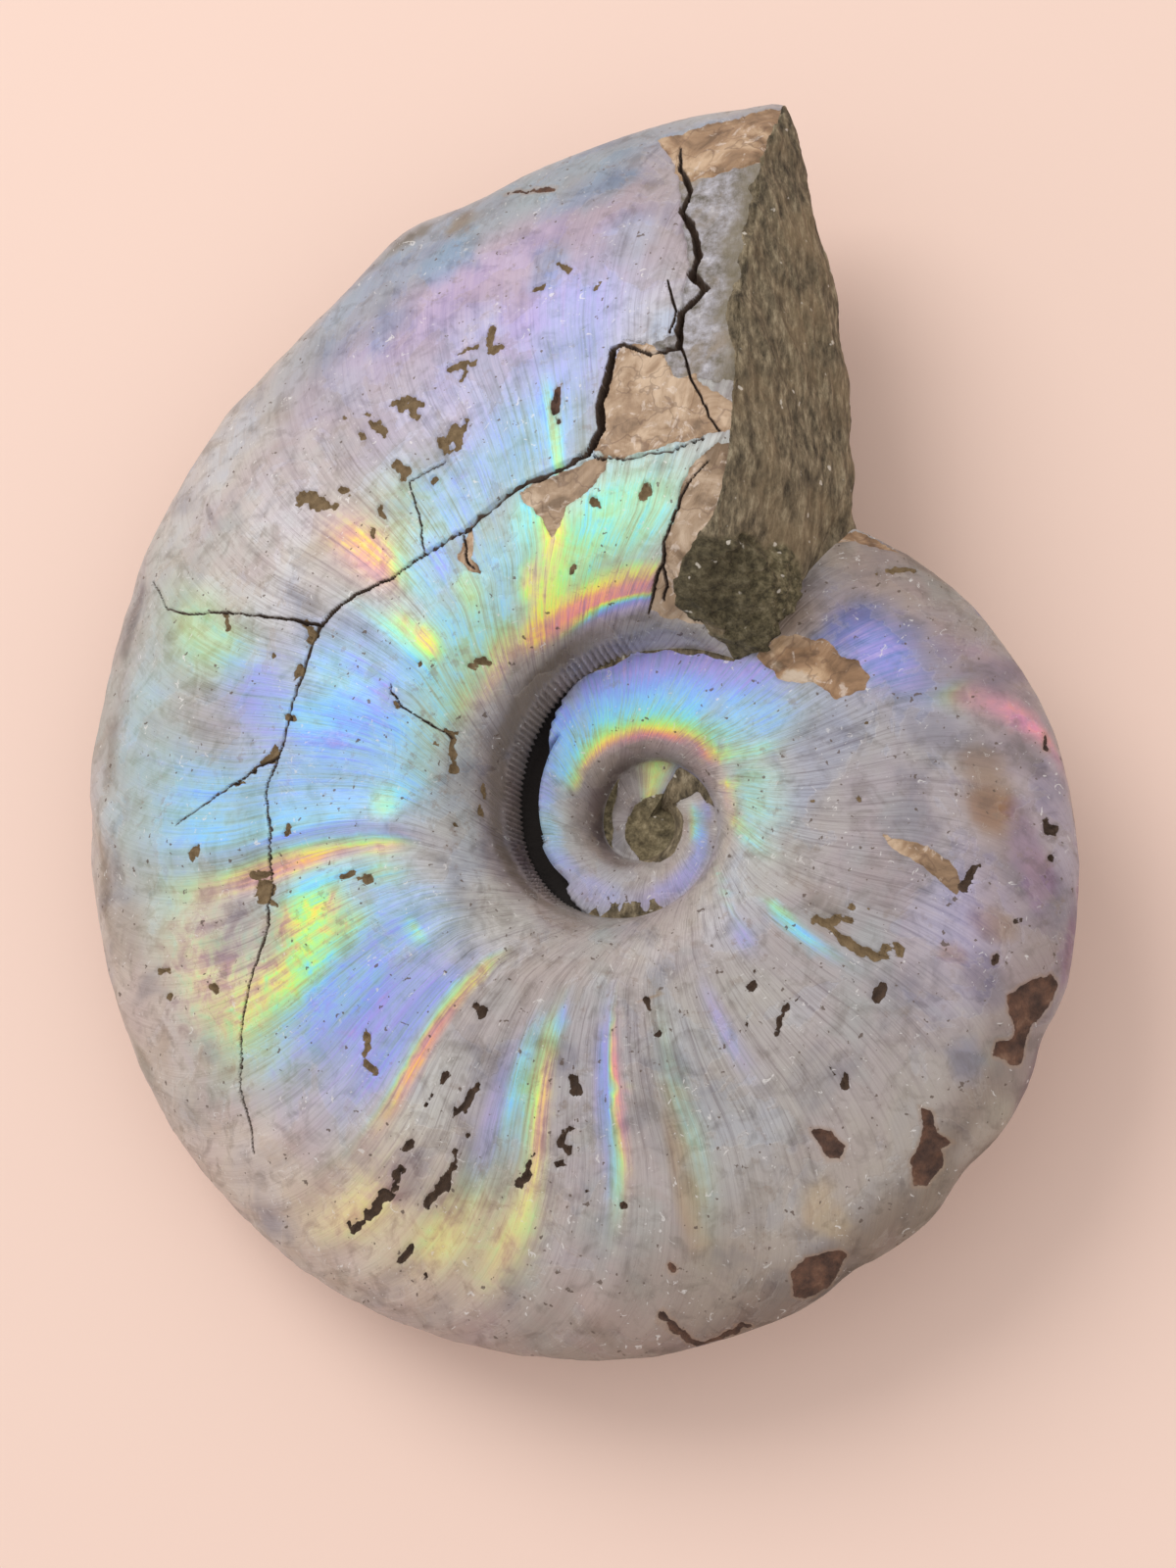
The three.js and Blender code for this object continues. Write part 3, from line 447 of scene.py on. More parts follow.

# Colours of the shell beneath the painted iridescent sheen: place, half-widths and colour, as on
# screen. The dark ones on the umbilical walls and along the lower rim are partly painted shade.
UPPER_TINTS_AND_SHADE = [
    (86, 60, 8, 12, (0.63, 0.58, 0.6)), (100, 70, 10, 8, (0.56, 0.62, 0.66)),
    (118, 66, 12, 8, (0.58, 0.62, 0.68)), (108, 51, 14, 6, (0.72, 0.62, 0.7)),
    (98, 38, 7, 8, (0.76, 0.75, 0.84)), (112, 38, 10, 7, (0.76, 0.74, 0.8)),
    (126, 50, 7, 10, (0.68, 0.64, 0.69)), (142, 58, 10, 14, (0.77, 0.73, 0.71)),
    (142, 36, 8, 9, (0.8, 0.77, 0.76)), (134, 22, 5, 8, (0.82, 0.74, 0.72)),
    (165, 64, 12, 12, (0.71, 0.68, 0.64)), (180, 58, 12, 9, (0.7, 0.72, 0.72)),
    (200, 66, 14, 14, (0.77, 0.7, 0.66)), (200, 48, 12, 8, (0.78, 0.76, 0.74)),
    (228, 62, 12, 16, (0.78, 0.69, 0.63)), (232, 40, 8, 12, (0.76, 0.74, 0.72)),
    (246, 60, 8, 14, (0.76, 0.67, 0.61)), (258, 72, 9, 12, (0.66, 0.57, 0.53)),
    # The dark tints at flank 74 to 80 from coil 268 to 318 are partly painted shade along the lower
    # rim.
    (268, 80, 10, 10, (0.6, 0.51, 0.46)), (266, 42, 8, 12, (0.72, 0.68, 0.66)),
    (284, 80, 10, 9, (0.42, 0.34, 0.3)), (280, 62, 8, 10, (0.58, 0.52, 0.47)),
    (298, 76, 12, 9, (0.5, 0.42, 0.36)), (300, 56, 14, 9, (0.66, 0.61, 0.58)),
    (318, 74, 12, 10, (0.5, 0.44, 0.38)), (318, 52, 10, 8, (0.65, 0.62, 0.6)),
    (338, 72, 10, 10, (0.57, 0.5, 0.5)), (346, 56, 9, 8, (0.62, 0.55, 0.58)),
    (360, 55, 5, 5, (0.55, 0.43, 0.33)), (366, 54, 3, 4, (0.56, 0.45, 0.36)),
    (362, 72, 10, 12, (0.66, 0.6, 0.64)), (380, 68, 9, 12, (0.63, 0.53, 0.55)),
    (386, 54, 7, 8, (0.52, 0.49, 0.52)), (392, 44, 8, 7, (0.44, 0.45, 0.56)),
    (402, 68, 10, 12, (0.6, 0.53, 0.49)), (404, 48, 7, 6, (0.54, 0.5, 0.56)),
    (410, 38, 4, 8, (0.62, 0.52, 0.44)), (350, 30, 24, 18, (0.68, 0.65, 0.66)),
    (374, 30, 12, 14, (0.65, 0.64, 0.67)), (300, 28, 24, 20, (0.69, 0.67, 0.66)),
    (270, 10, 20, 16, (0.71, 0.69, 0.68)), (196, -14, 14, 12, (0.74, 0.73, 0.73)),
    (222, -14, 16, 12, (0.69, 0.67, 0.66)), (252, -14, 16, 12, (0.69, 0.66, 0.64)),
    (282, -30, 20, 16, (0.74, 0.7, 0.67)), (312, -34, 16, 16, (0.74, 0.7, 0.68)),
    (345, -36, 14, 10, (0.79, 0.73, 0.69)), (372, -42, 14, 10, (0.85, 0.78, 0.75)),
    (330, -10, 22, 14, (0.72, 0.71, 0.71)), (362, -12, 18, 12, (0.76, 0.79, 0.75)),
    (162, -30, 14, 8, (0.68, 0.68, 0.66)), (140, -32, 12, 6, (0.78, 0.73, 0.68)),
    (182, -26, 12, 12, (0.71, 0.71, 0.7)), (170, 5, 30, 14, (0.74, 0.8, 0.85)),
    (100, -8, 20, 14, (0.76, 0.82, 0.79)), (120, -44, 16, 5, (0.66, 0.6, 0.58)),
    # The dark tints of the umbilical walls, at flank -50 and below, are partly brown stain, partly
    # painted shade.
    (96, -50, 14, 6, (0.62, 0.57, 0.58)), (128, -57, 24, 7, (0.47, 0.42, 0.39)),
    (170, -56, 16, 8, (0.54, 0.48, 0.47)), (205, -52, 16, 9, (0.62, 0.55, 0.53)),
    (240, -54, 20, 10, (0.64, 0.58, 0.55)), (100, -74, 14, 9, (0.6, 0.58, 0.62)),
    (140, -76, 18, 9, (0.55, 0.5, 0.48)), (185, -76, 22, 9, (0.54, 0.47, 0.46)),
    (235, -76, 22, 10, (0.58, 0.52, 0.49)), (290, -66, 30, 14, (0.74, 0.69, 0.67)),
    (345, -68, 26, 14, (0.76, 0.73, 0.74)), (392, -58, 16, 10, (0.78, 0.7, 0.69)),
    (430, -48, 26, 7, (0.72, 0.65, 0.63)), (470, -50, 26, 7, (0.6, 0.53, 0.5)),
    (430, -70, 22, 12, (0.62, 0.58, 0.58)), (480, -70, 26, 14, (0.4, 0.34, 0.32)),
    (530, -40, 24, 9, (0.6, 0.56, 0.55)), (540, -64, 34, 14, (0.42, 0.35, 0.33)),
    (545, -16, 26, 10, (0.7, 0.72, 0.72)), (590, -20, 26, 14, (0.68, 0.67, 0.66)),
    (590, -46, 26, 10, (0.52, 0.46, 0.43)), (640, -24, 30, 14, (0.72, 0.69, 0.67)),
    (700, -22, 40, 12, (0.76, 0.71, 0.68)), (620, 4, 30, 10, (0.72, 0.7, 0.74)),
    (755, -18, 20, 10, (0.8, 0.76, 0.72)),
]
LOWER_TINTS = [
    (100, 55, 20, 20, (0.64, 0.6, 0.62)), (150, 60, 24, 16, (0.72, 0.67, 0.64)),
    (150, 15, 40, 24, (0.74, 0.76, 0.78)), (215, 60, 24, 18, (0.72, 0.64, 0.59)),
    (260, 64, 20, 16, (0.6, 0.52, 0.47)), (310, 66, 26, 18, (0.54, 0.47, 0.42)),
    (370, 60, 26, 18, (0.6, 0.54, 0.54)), (280, 20, 40, 24, (0.7, 0.67, 0.65)),
    (350, 10, 36, 24, (0.71, 0.69, 0.68)), (240, -30, 60, 20, (0.72, 0.68, 0.66)),
    (130, -60, 50, 18, (0.52, 0.46, 0.43)), (300, -66, 60, 16, (0.7, 0.65, 0.63)),
    (480, -60, 60, 20, (0.5, 0.44, 0.42)), (640, -30, 90, 24, (0.7, 0.66, 0.64)),
]
PLAIN_TINT = (0.71, 0.68, 0.665)
BASE_GAIN = (1.02, 1.06, 1.09)

rad = np.radians


def smooth(x, low, high):
    """Smooth step from 0 at low to 1 at high."""
    t = np.clip((x - low) / (high - low), 0, 1)
    return t * t * (3 - 2 * t)


def bell(x):
    """1 at zero, falling away on both sides."""
    return np.exp(-x * x)


def grow(per_turn, coil):
    """How much larger than at the mouth a size is, by its growth in a turn."""
    return per_turn ** ((MOUTH_ANGLE - coil) / 360)


def rim_radius(coil):
    """From the axis to the rim, in millimetres."""
    return MOUTH_RADIUS * grow(RADIUS_PER_TURN, coil)


def seam_radius(coil):
    """From the axis to the seam with the whorl inside."""
    return UMBILICUS_RADIUS * grow(UMBILICUS_PER_TURN, coil)


def half_breadth(coil):
    """Half the whorl's thickness at its widest."""
    return MOUTH_HALF_BREADTH * grow(RADIUS_PER_TURN, coil)


def cover_at(coil):
    """Where the next whorl's seam crosses this whorl's flank, from its widest line to its rim."""
    return (seam_radius(coil - 360) / rim_radius(coil) - WIDEST_AT) / (1 - WIDEST_AT)


def cover_flank(coil):
    """The flank angle at which the next whorl covers this one."""
    return np.degrees(np.arcsin(np.clip(cover_at(coil), 0, 1) ** (FLANK_BEND / 2)))


def crevice_opening(coil, crevice):
    """How deep a crevice is along its length, from 0 to 1."""
    along = np.clip((coil - crevice["middle"]) / crevice["half"], -1, 1)
    return np.cos(along * np.pi / 2) ** 2


def seam_height(coil, side):
    """Height of the inner seam above the coil's middle plane."""
    u = np.clip(cover_at(coil + 360), 0, 1)
    on_flank = half_breadth(coil + 360) * (1 - u ** FLANK_BEND) ** FLANK_ROUND
    dip = sum(c["depth"] * crevice_opening(coil, c) for c in CREVICES)
    return on_flank - np.where(side > 0, dip, 0)


def section(coil, flank, side):
    """Radius and height of the whorl's smooth section."""
    rim, half = rim_radius(coil), half_breadth(coil)
    widest = WIDEST_AT * rim
    sine = np.sin(rad(np.abs(flank)))
    cosine = np.clip(np.cos(rad(flank)), 0, 1)
    seam = seam_height(coil, side)
    outer = flank >= 0
    radius = np.where(outer, widest + (rim - widest) * sine ** (2 / FLANK_BEND),
                      widest - (widest - seam_radius(coil)) * sine ** (2 / SHOULDER_BEND))
    height = np.where(outer, half * cosine ** (2 * FLANK_ROUND),
                      seam + (half - seam) * cosine ** (2 * SHOULDER_ROUND))
    return radius, height


def fold_shift(flank):
    """Growth lines sweep forward at the rim and back towards the umbilicus."""
    outer = -16 * ((np.maximum(flank, 35) - 35) / 55) ** 2
    inner = 0.3 * (-5 - np.minimum(flank, -5))
    middle = -1.3 * np.sin(rad((35 - np.clip(flank, -5, 35)) * 4.5))
    return outer + inner + middle


def lattice(cell, seed):
    """A fixed random number from 0 to 1 for each whole-numbered cell."""
    x, y, z = (cell[:, k].astype(np.uint32) for k in range(3))
    mixed = x * np.uint32(374761393) ^ y * np.uint32(668265263) ^ z * np.uint32(2246822519)
    mixed = mixed + np.uint32(seed * 40503 + 977)
    mixed = (mixed ^ (mixed >> np.uint32(15))) * np.uint32(2246822519)
    mixed = (mixed ^ (mixed >> np.uint32(13))) * np.uint32(3266489917)
    return ((mixed ^ (mixed >> np.uint32(16))) & np.uint32(0xFFFF)).astype(float) / 0xFFFF


def noise(points, seed):
    """Smooth noise from -1 to 1."""
    cell = np.floor(points).astype(np.int64)
    part = points - cell
    part = part * part * (3 - 2 * part)
    total = np.zeros(len(points))
    for corner in np.ndindex(2, 2, 2):
        weight = np.prod(np.where(corner, part, 1 - part), axis=1)
        total += weight * lattice(cell + np.array(corner), seed)
    return 2 * total - 1


def rough(points, size, seed, octaves=3):
    """Layered noise whose largest bumps are about size across."""
    total = np.zeros(len(points))
    for octave in range(octaves):
        scale = 2.03 ** octave
        total += noise(points * scale / size + 17.3 * octave, seed + octave) / scale
    return total


class Surface:
    """Vertices of the fossil's surface by region, side and two surface coordinates."""

    def __init__(self, region, side, u, v):
        self.region = np.asarray(region)
        self.side = np.asarray(side)
        self.u = np.asarray(u, float)
        self.v = np.asarray(v, float)
        self.set_coil()

    def set_coil(self):
        """Coil and flank angle of each vertex; off the shell they say where it continues."""
        self.coil, self.flank = self.u.copy(), self.v.copy()
        centre = self.region == CENTRE
        around = np.clip(self.u, 0, 1)
        end = np.clip(self.u - 1, 0, 1)
        self.coil[centre] = (FIRST_ANGLE + 360 * (1 + around))[centre]
        self.flank[centre] = (-90 + end * (cover_flank(LAST_ANGLE) + 90))[centre]
        broken = self.region == BREAK
        self.flank[broken] = (90 - 180 * np.abs(self.u))[broken]
        self.coil[broken] = break_angle(self.flank[broken])
        self.side = np.where(broken, np.where(self.u < 0, LOWER, UPPER), self.side)
        self.shell = (self.region == LAST) | (self.region == INNER)

    def part(self, chosen):
        """The same surface with some of the vertices."""
        return Surface(self.region[chosen], self.side[chosen], self.u[chosen], self.v[chosen])

    def scale(self):
        """Millimetres per degree along the coil and along the flank."""
        radius, _ = section(self.coil, self.flank, self.side)
        r1, h1 = section(self.coil, np.minimum(self.flank + 0.5, 90), self.side)
        r0, h0 = section(self.coil, np.maximum(self.flank - 0.5, -90), self.side)
        return np.maximum(radius, 1) * math.pi / 180, np.maximum(np.hypot(r1 - r0, h1 - h0), 0.02)


def break_angle(flank):
    """The coil angle of the broken edge at a flank angle."""
    at, angle = zip(*BREAK_EDGE)
    return np.interp(flank, at, angle)


def column_angle(i, flank):
    """Coil angle of a column; the first ones slant along the break."""
    slant = max(1 - i / AROUND / BREAK_FADE, 0) ** 2
    return FIRST_ANGLE + 360 * i / AROUND + (break_angle(flank) - FIRST_ANGLE) * slant


def column_flanks(coil):
    """Flank angles of a column, from the rim over the covered seam to the wall."""
    cover = float(cover_flank(coil))
    return np.concatenate([np.linspace(90, cover, FLANK_ROWS + 1),
                           np.linspace(cover, -90, SHOULDER_ROWS + 1)[1:]])


class Net:
    """The first, coarse mesh. A vertex of a region may share its place with one of another."""

    def __init__(self):
        self.rows = []
        self.place = []
        self.triangles = []
        self.places = 0

    def vertex(self, region, side, u, v, place=None):
        if place is None:
            place = self.places
            self.places += 1
        self.rows.append((region, side, u, v))
        self.place.append(place)
        return len(self.rows) - 1

    def stitch(self, first, second, turned):
        i = j = 0
        while i < len(first) - 1 or j < len(second) - 1:
            if (i + 1) * (len(second) - 1) <= (j + 1) * (len(first) - 1):
                corners = (first[i], first[i + 1], second[j])
                i += 1
            else:
                corners = (first[i], second[j + 1], second[j])
                j += 1
            if len({self.place[c] for c in corners}) == 3:
                self.triangles.append(corners[::-1] if turned else corners)

    def stitch_all(self, rows, turned):
        for first, second in zip(rows, rows[1:]):
            self.stitch(first, second, turned)


def last_whorl(net, side, rim):
    """Rows of the last whorl from the rim in; the lower side shares the upper side's rim."""
    rows = [[] for _ in range(FLANK_ROWS + SHOULDER_ROWS + 1)]
    for i in range(AROUND + 1):
        for j, flank in enumerate(column_flanks(FIRST_ANGLE + 360 * i / AROUND)):
            place = net.place[rim[i]] if rim and j == 0 else None
            if i == AROUND and j == FLANK_ROWS:
                place = net.place[rows[-1][0]]
            rows[j].append(net.vertex(LAST, side, column_angle(i, flank), flank, place))
    return rows


def inner_whorl(net, side, outer):
    """Rows of the whorl inside, from its seam with the last one in."""
    rows = []
    for j in range(SHOULDER_ROWS + 1):
        row = []
        for i in range(AROUND + 1):
            coil = FIRST_ANGLE + 360 * (1 + i / AROUND)
            place = None
            if j == 0:
                place = net.place[outer[-1][i]]
            elif i == 0:
                place = net.place[outer[FLANK_ROWS + j][AROUND]]
            row.append(net.vertex(INNER, side, coil, column_flanks(coil)[FLANK_ROWS + j], place))
        rows.append(row)
    return rows


def centre(net, side, inner):
    """Rings from the second seam to the middle of the stone disc."""
    edge = [(i / AROUND, vertex) for i, vertex in enumerate(inner[SHOULDER_ROWS])]
    for j in range(SHOULDER_ROWS - 1, -1, -1):
        edge.append((2 - j / SHOULDER_ROWS, inner[j][AROUND]))
    ring = [net.vertex(CENTRE, side, s, 1, net.place[vertex]) for s, vertex in edge]
    for share in CENTRE_SHARES:
        places = [net.vertex(CENTRE, side, s, share) for s, _ in edge[:-1]]
        places.append(net.vertex(CENTRE, side, edge[-1][0], share, net.place[places[0]]))
        net.stitch(ring, places, side < 0)
        ring = places
    middle = net.places
    net.places += 1
    tips = [net.vertex(CENTRE, side, s, 0, middle) for s, _ in edge]
    net.stitch(ring, tips, side < 0)


def broken_face(net, upper, lower):
    """From the shell's broken edge, over the rim, to the whorl before."""
    edge = [row[0] for row in reversed(upper)] + [row[0] for row in lower[1:]]
    flanks = [net.rows[k][3] for k in edge]
    across = [net.rows[k][1] * (90 - f) / 180 for k, f in zip(edge, flanks)]
    covered = FLANK_ROWS + 1
    foot = [row[AROUND] for row in reversed(upper[:covered])]
    foot += [row[AROUND] for row in lower[1:covered]]
    cover = float(cover_flank(FIRST_ANGLE + 360))
    foot_across = [net.rows[k][1] * (90 - net.rows[k][3]) / (90 - cover) for k in foot]
    ends = {0: net.place[edge[0]], len(edge) - 1: net.place[edge[-1]]}
    ring = [net.vertex(BREAK, UPPER, q, 0, net.place[k]) for q, k in zip(across, edge)]
    for row in range(1, BREAK_ROWS):
        down = row / BREAK_ROWS
        places = [net.vertex(BREAK, UPPER, q, down, ends.get(k)) for k, q in enumerate(across)]
        net.stitch(ring, places, True)
        ring = places
    last = [net.vertex(BREAK, UPPER, q, 1, net.place[k]) for q, k in zip(foot_across, foot)]
    net.stitch(ring, last, True)


def coarse_net():
    """The whole fossil before it is refined."""
    net = Net()
    upper = last_whorl(net, UPPER, None)
    lower = last_whorl(net, LOWER, upper[0])
    for side, rows in ((UPPER, upper), (LOWER, lower)):
        net.stitch_all(rows, side < 0)
        inner = inner_whorl(net, side, rows)
        net.stitch_all(inner, side < 0)
        centre(net, side, inner)
    broken_face(net, upper, lower)
    return net


def shell_point(coil, flank, side, lift):
    """A point of the shell, lifted off its smooth section."""
    radius, height = section(coil, flank, side)
    r_out, h_out = section(coil, np.minimum(flank + 0.5, 90), side)
    r_in, h_in = section(coil, np.maximum(flank - 0.5, -90), side)
    out, up = h_in - h_out, r_out - r_in
    length = np.hypot(out, up) + 1e-9
    radius = radius + out / length * lift
    height = height + up / length * lift
    turn = rad(coil)
    return np.stack([radius * np.cos(turn), radius * np.sin(turn), side * height], axis=1)


def camera_axes():
    """Right, up and towards the camera, and how far the view's middle is off the coil's centre."""
    tilt, turn = math.radians(TILT), math.radians(DIRECTION)
    across = np.array([math.cos(turn), math.sin(turn), 0])
    along = np.array([-math.sin(turn), math.cos(turn), 0])
    upright = np.array([0, 0, 1])
    back = upright * math.cos(tilt) + across * math.sin(tilt)
    dropped = across * math.cos(tilt) - upright * math.sin(tilt)
    right = dropped * across[0] + along * along[0]
    up = dropped * across[1] + along * along[1]
    offset = ((COIL_PIXEL[0] - IMAGE[0] / 2) / SCALE, (IMAGE[1] / 2 - COIL_PIXEL[1]) / SCALE)
    return right, up, back, offset


def to_pixels(points):
    """Where points in the coil's frame lie in the photograph."""
    right, up, back, offset = camera_axes()
    near = SCALE * DISTANCE / (DISTANCE - points @ back)
    return np.stack([IMAGE[0] / 2 + near * (points @ right + offset[0]),
                     IMAGE[1] / 2 - near * (points @ up + offset[1])], axis=1)


class PhotoFinder:
    """Finds the coil and flank angle of the upper shell that shows at a pixel."""

    def __init__(self):
        coil, flank = np.meshgrid(np.arange(58, LAST_ANGLE, 0.4), np.arange(-88, 89.5, 0.75))
        coil, flank = coil.ravel(), flank.ravel()
        seen = (coil < FIRST_ANGLE + 360) | (flank < cover_flank(coil))
        self.coil, self.flank = coil[seen], flank[seen]
        self.points = shell_point(self.coil, self.flank, 1, np.zeros(seen.sum()))
        self.pixels = to_pixels(self.points)
        self.near = self.points @ camera_axes()[2]

    def find(self, x, y):
        off = np.hypot(*(self.pixels - (x, y)).T)
        close = np.flatnonzero(off < off.min() + 6)
        best = close[np.argmax(self.near[close] - off[close])]
        return self.coil[best], self.flank[best]

    def stroke(self, stroke):
        return [(*self.find(x, y), width) for x, y, width in stroke]

    def outline(self, outline):
        return [self.find(x, y) for x, y in outline]


def line_distance(at, scale, line, ragged=0.0):
    """Distance in millimetres from vertices to a broken line, less half its width there."""
    best = np.full(len(at[0]), 99.0)
    line = line if len(line) > 1 else line * 2
    for (c0, f0, w0), (c1, f1, w1) in zip(line, line[1:]):
        x0, y0 = (c0 - at[0]) * scale[0], (f0 - at[1]) * scale[1]
        dx, dy = (c1 - c0) * scale[0], (f1 - f0) * scale[1]
        t = np.clip(-(x0 * dx + y0 * dy) / (dx * dx + dy * dy + 1e-12), 0, 1)
        width = w0 + (w1 - w0) * t
        distance = np.hypot(x0 + t * dx, y0 + t * dy) - width * (0.5 + ragged)
        best = np.minimum(best, distance)
    return best


def outline_depth(at, scale, outline):
    """How deep inside an outline a vertex is, in millimetres; negative outside."""
    closed = [(c, f, 0) for c, f in outline + outline[:1]]
    distance = line_distance(at, scale, closed)
    inside = np.zeros(len(distance), bool)
    for (c0, f0, _), (c1, f1, _) in zip(closed, closed[1:]):
        crosses = (f0 > at[1]) != (f1 > at[1])
        edge = c0 + (at[1] - f0) * (c1 - c0) / ((f1 - f0) or 1e-9)
        inside ^= crosses & (at[0] < edge)
    return np.where(inside, distance, -distance)


def pit_depth(at, scale, pit, ragged=0.0):
    """How deep inside an oval pit a vertex is, in millimetres."""
    coil, flank, length, width, turn = pit
    x, y = (at[0] - coil) * scale[0], (at[1] - flank) * scale[1]
    cos, sin = math.cos(math.radians(turn)), math.sin(math.radians(turn))
    along, across = (x * cos + y * sin) * 2 / length, (y * cos - x * sin) * 2 / width
    return (1 + ragged - np.hypot(along, across)) * min(length, width) / 2


def nearby(surface, side, coil, flank, scale, reach):
    """Indices of shell vertices of one side within about reach millimetres of a range."""
    return np.flatnonzero(
        surface.shell & (surface.side == side)
        & ((surface.coil - coil[1]) * scale[0] < reach)
        & ((coil[0] - surface.coil) * scale[0] < reach)
        & ((surface.flank - flank[1]) * scale[1] < reach)
        & ((flank[0] - surface.flank) * scale[1] < reach))


def gather(surface, scale, wobble, features, measure, reach=9.0):
    """The greatest of the features' measures at each vertex, and which feature gave it."""
    best = np.full(len(surface.u), -reach)
    which = np.full(len(surface.u), -1)
    for k, (side, coil, flank, feature) in enumerate(features):
        near = nearby(surface, side, coil, flank, scale, reach)
        at = (surface.coil[near] + wobble[0][near] / scale[0][near],
              surface.flank[near] + wobble[1][near] / scale[1][near])
        value = measure(at, (scale[0][near], scale[1][near]), feature, wobble[2][near])
        better = value > best[near]
        best[near[better]] = value[better]
        which[near[better]] = k
    return best, which


def ranged(side, features, points_of):
    """Features with the ranges of coil and flank angle that they cover."""
    rows = []
    for feature in features:
        points = points_of(feature)
        coil, flank = [p[0] for p in points], [p[1] for p in points]
        rows.append((side, (min(coil), max(coil)), (min(flank), max(flank)), feature))
    return rows


def both_sides(upper, lower, points_of):
    """Ranged features of the upper and the lower side."""
    return ranged(UPPER, upper, points_of) + ranged(LOWER, lower, points_of)


def line_or_pit(at, scale, feature, ragged):
    """A stroke is a list of points, a pit a tuple."""
    if isinstance(feature, tuple):
        return pit_depth(at, scale, feature, 0.45 * ragged)
    return -line_distance(at, scale, feature, 0.62 * ragged - 0.12)


def in_outline(at, scale, outline, ragged):
    """Depth inside an outline with a ragged edge."""
    return outline_depth(at, scale, outline) + 0.15 * ragged


def rust_depth(at, scale, feature, ragged):
    """Depth inside rust, which is an outline, a stroke or a pit."""
    if isinstance(feature, list) and len(feature[0]) == 2:
        return in_outline(at, scale, feature, 2.2 * ragged)
    return line_or_pit(at, scale, feature, ragged)


def pit_points(pit):
    """A pit is a single point and a stroke is a list of them."""
    return [pit] if isinstance(pit, tuple) else pit


FINDER = PhotoFinder()
CRACKS = both_sides(UPPER_CRACKS, LOWER_CRACKS, lambda line: line)
PITS = both_sides([FINDER.stroke(s) for s in PHOTO_SCARS + PHOTO_DARK_SCARS], LOWER_PITS,
                  pit_points)
RUST = both_sides([FINDER.stroke(s) for s in PHOTO_RUST_STROKES]
                  + [FINDER.outline(o) for o in PHOTO_RUST], LOWER_RUST,
                  pit_points)
SEEN_CALCITE = UPPER_CALCITE + [(tone, FINDER.outline(o)) for tone, o in PHOTO_CALCITE]
CALCITE = both_sides(SEEN_CALCITE, LOWER_CALCITE, lambda patch: patch[1])
BARE = both_sides([BARE_UPPER], [BARE_LOWER], lambda outline: outline)


class Marks:
    """Signed distances, in millimetres, to the cracks, pits and patches; positive inside."""

    def __init__(self, surface):
        self.scale = scale = surface.scale()
        place = smooth_positions(surface)
        ragged = 0.62 * rough(place, 0.8, 77, 3)
        wave = (0.35 * rough(place, 3.1, 5, 2), 0.35 * rough(place, 3.1, 9, 2))
        fine = (wave[0] + 0.2 * noise(place / 0.8, 21), wave[1] + 0.2 * noise(place / 0.8, 23),
                ragged)
        slight = (0.3 * wave[0], 0.3 * wave[1], ragged)
        still = (0.4 * wave[0] + 0.12 * noise(place / 0.9, 31),
                 0.4 * wave[1] + 0.12 * noise(place / 0.9, 33), ragged)
        self.crack, _ = gather(surface, scale, still, CRACKS,
                               lambda at, s, line, r: -line_distance(at, s, line, 0.14 * r - 0.09))
        self.pit, which = gather(surface, scale, slight, PITS, line_or_pit)
        self.dark = ((which >= len(PHOTO_SCARS))
                     & (which < len(PHOTO_SCARS) + len(PHOTO_DARK_SCARS))).astype(float)
        self.rust, _ = gather(surface, scale, slight, RUST, rust_depth)
        self.calcite, which = gather(surface, scale, fine, CALCITE,
                                     lambda at, s, patch, r: in_outline(at, s, patch[1], r))
        tones = np.array([row[3][0] for row in CALCITE] + [0.5])
        self.tone = tones[which]
        self.bare, _ = gather(surface, scale, fine, BARE, in_outline)
        self.seam = (cover_flank(surface.coil) - surface.flank) * scale[1]
        self.crumb = self.seam_crumbs(surface, place)
        self.disc = self.disc_depth(surface, place)
        self.lobe = lobe_depth(surface, place)
        self.mouth = mouth_distance(surface, scale)
        skin = self.mouth_stone(surface, place)
        stone = np.where(surface.region == BREAK, 9.0, -9.0)
        self.stone = np.maximum.reduce([stone, self.crumb, self.disc, self.lobe, skin])

    def seam_crumbs(self, surface, place):
        """Stone left along the inner whorl's outer seam."""
        reach = np.zeros(len(surface.u))
        for coil, half, size in SEAM_CRUMBS:
            reach = np.maximum(reach, size * bell((surface.coil - coil) / half))
        reach = reach + 0.16 * rough(place, 2.6, 41, 2) * (reach > 0.05) - 0.1
        inner = (surface.region == INNER) & (surface.side > 0)
        return np.where(inner, reach - self.seam, -9.0)

    def disc_depth(self, surface, place):
        x, y = place[:, 0] - DISC["x"], place[:, 1] - DISC["y"]
        share = np.hypot(x / DISC["rx"], y / DISC["ry"])
        depth = (1 - share) * DISC["rx"] + 0.3 * rough(place, 1.6, 43, 2)
        inner = (surface.region == CENTRE) | (surface.region == INNER)
        depth = np.where(inner, depth - 0.4 * (surface.side < 0), -9.0)
        return np.maximum(depth, second_crevice(surface, place))

    def mouth_stone(self, surface, place):
        """Stone that still clings to the shell along the broken edge."""
        on_flank = smooth(surface.flank, 24, 30) * (1 - smooth(surface.flank, 60, 68))
        reach = 0.15 + on_flank * (0.5 + 1.1 * rough(place, 3.4, 45, 3))
        return np.where((surface.region == LAST) & (surface.coil < 110), reach - self.mouth, -9.0)


def mouth_distance(surface, scale):
    """How far a vertex of the last whorl is from the broken edge, in millimetres."""
    away = (surface.coil - break_angle(surface.flank)) * scale[0]
    return np.where(surface.region == LAST, np.maximum(away, 0), 99.0)


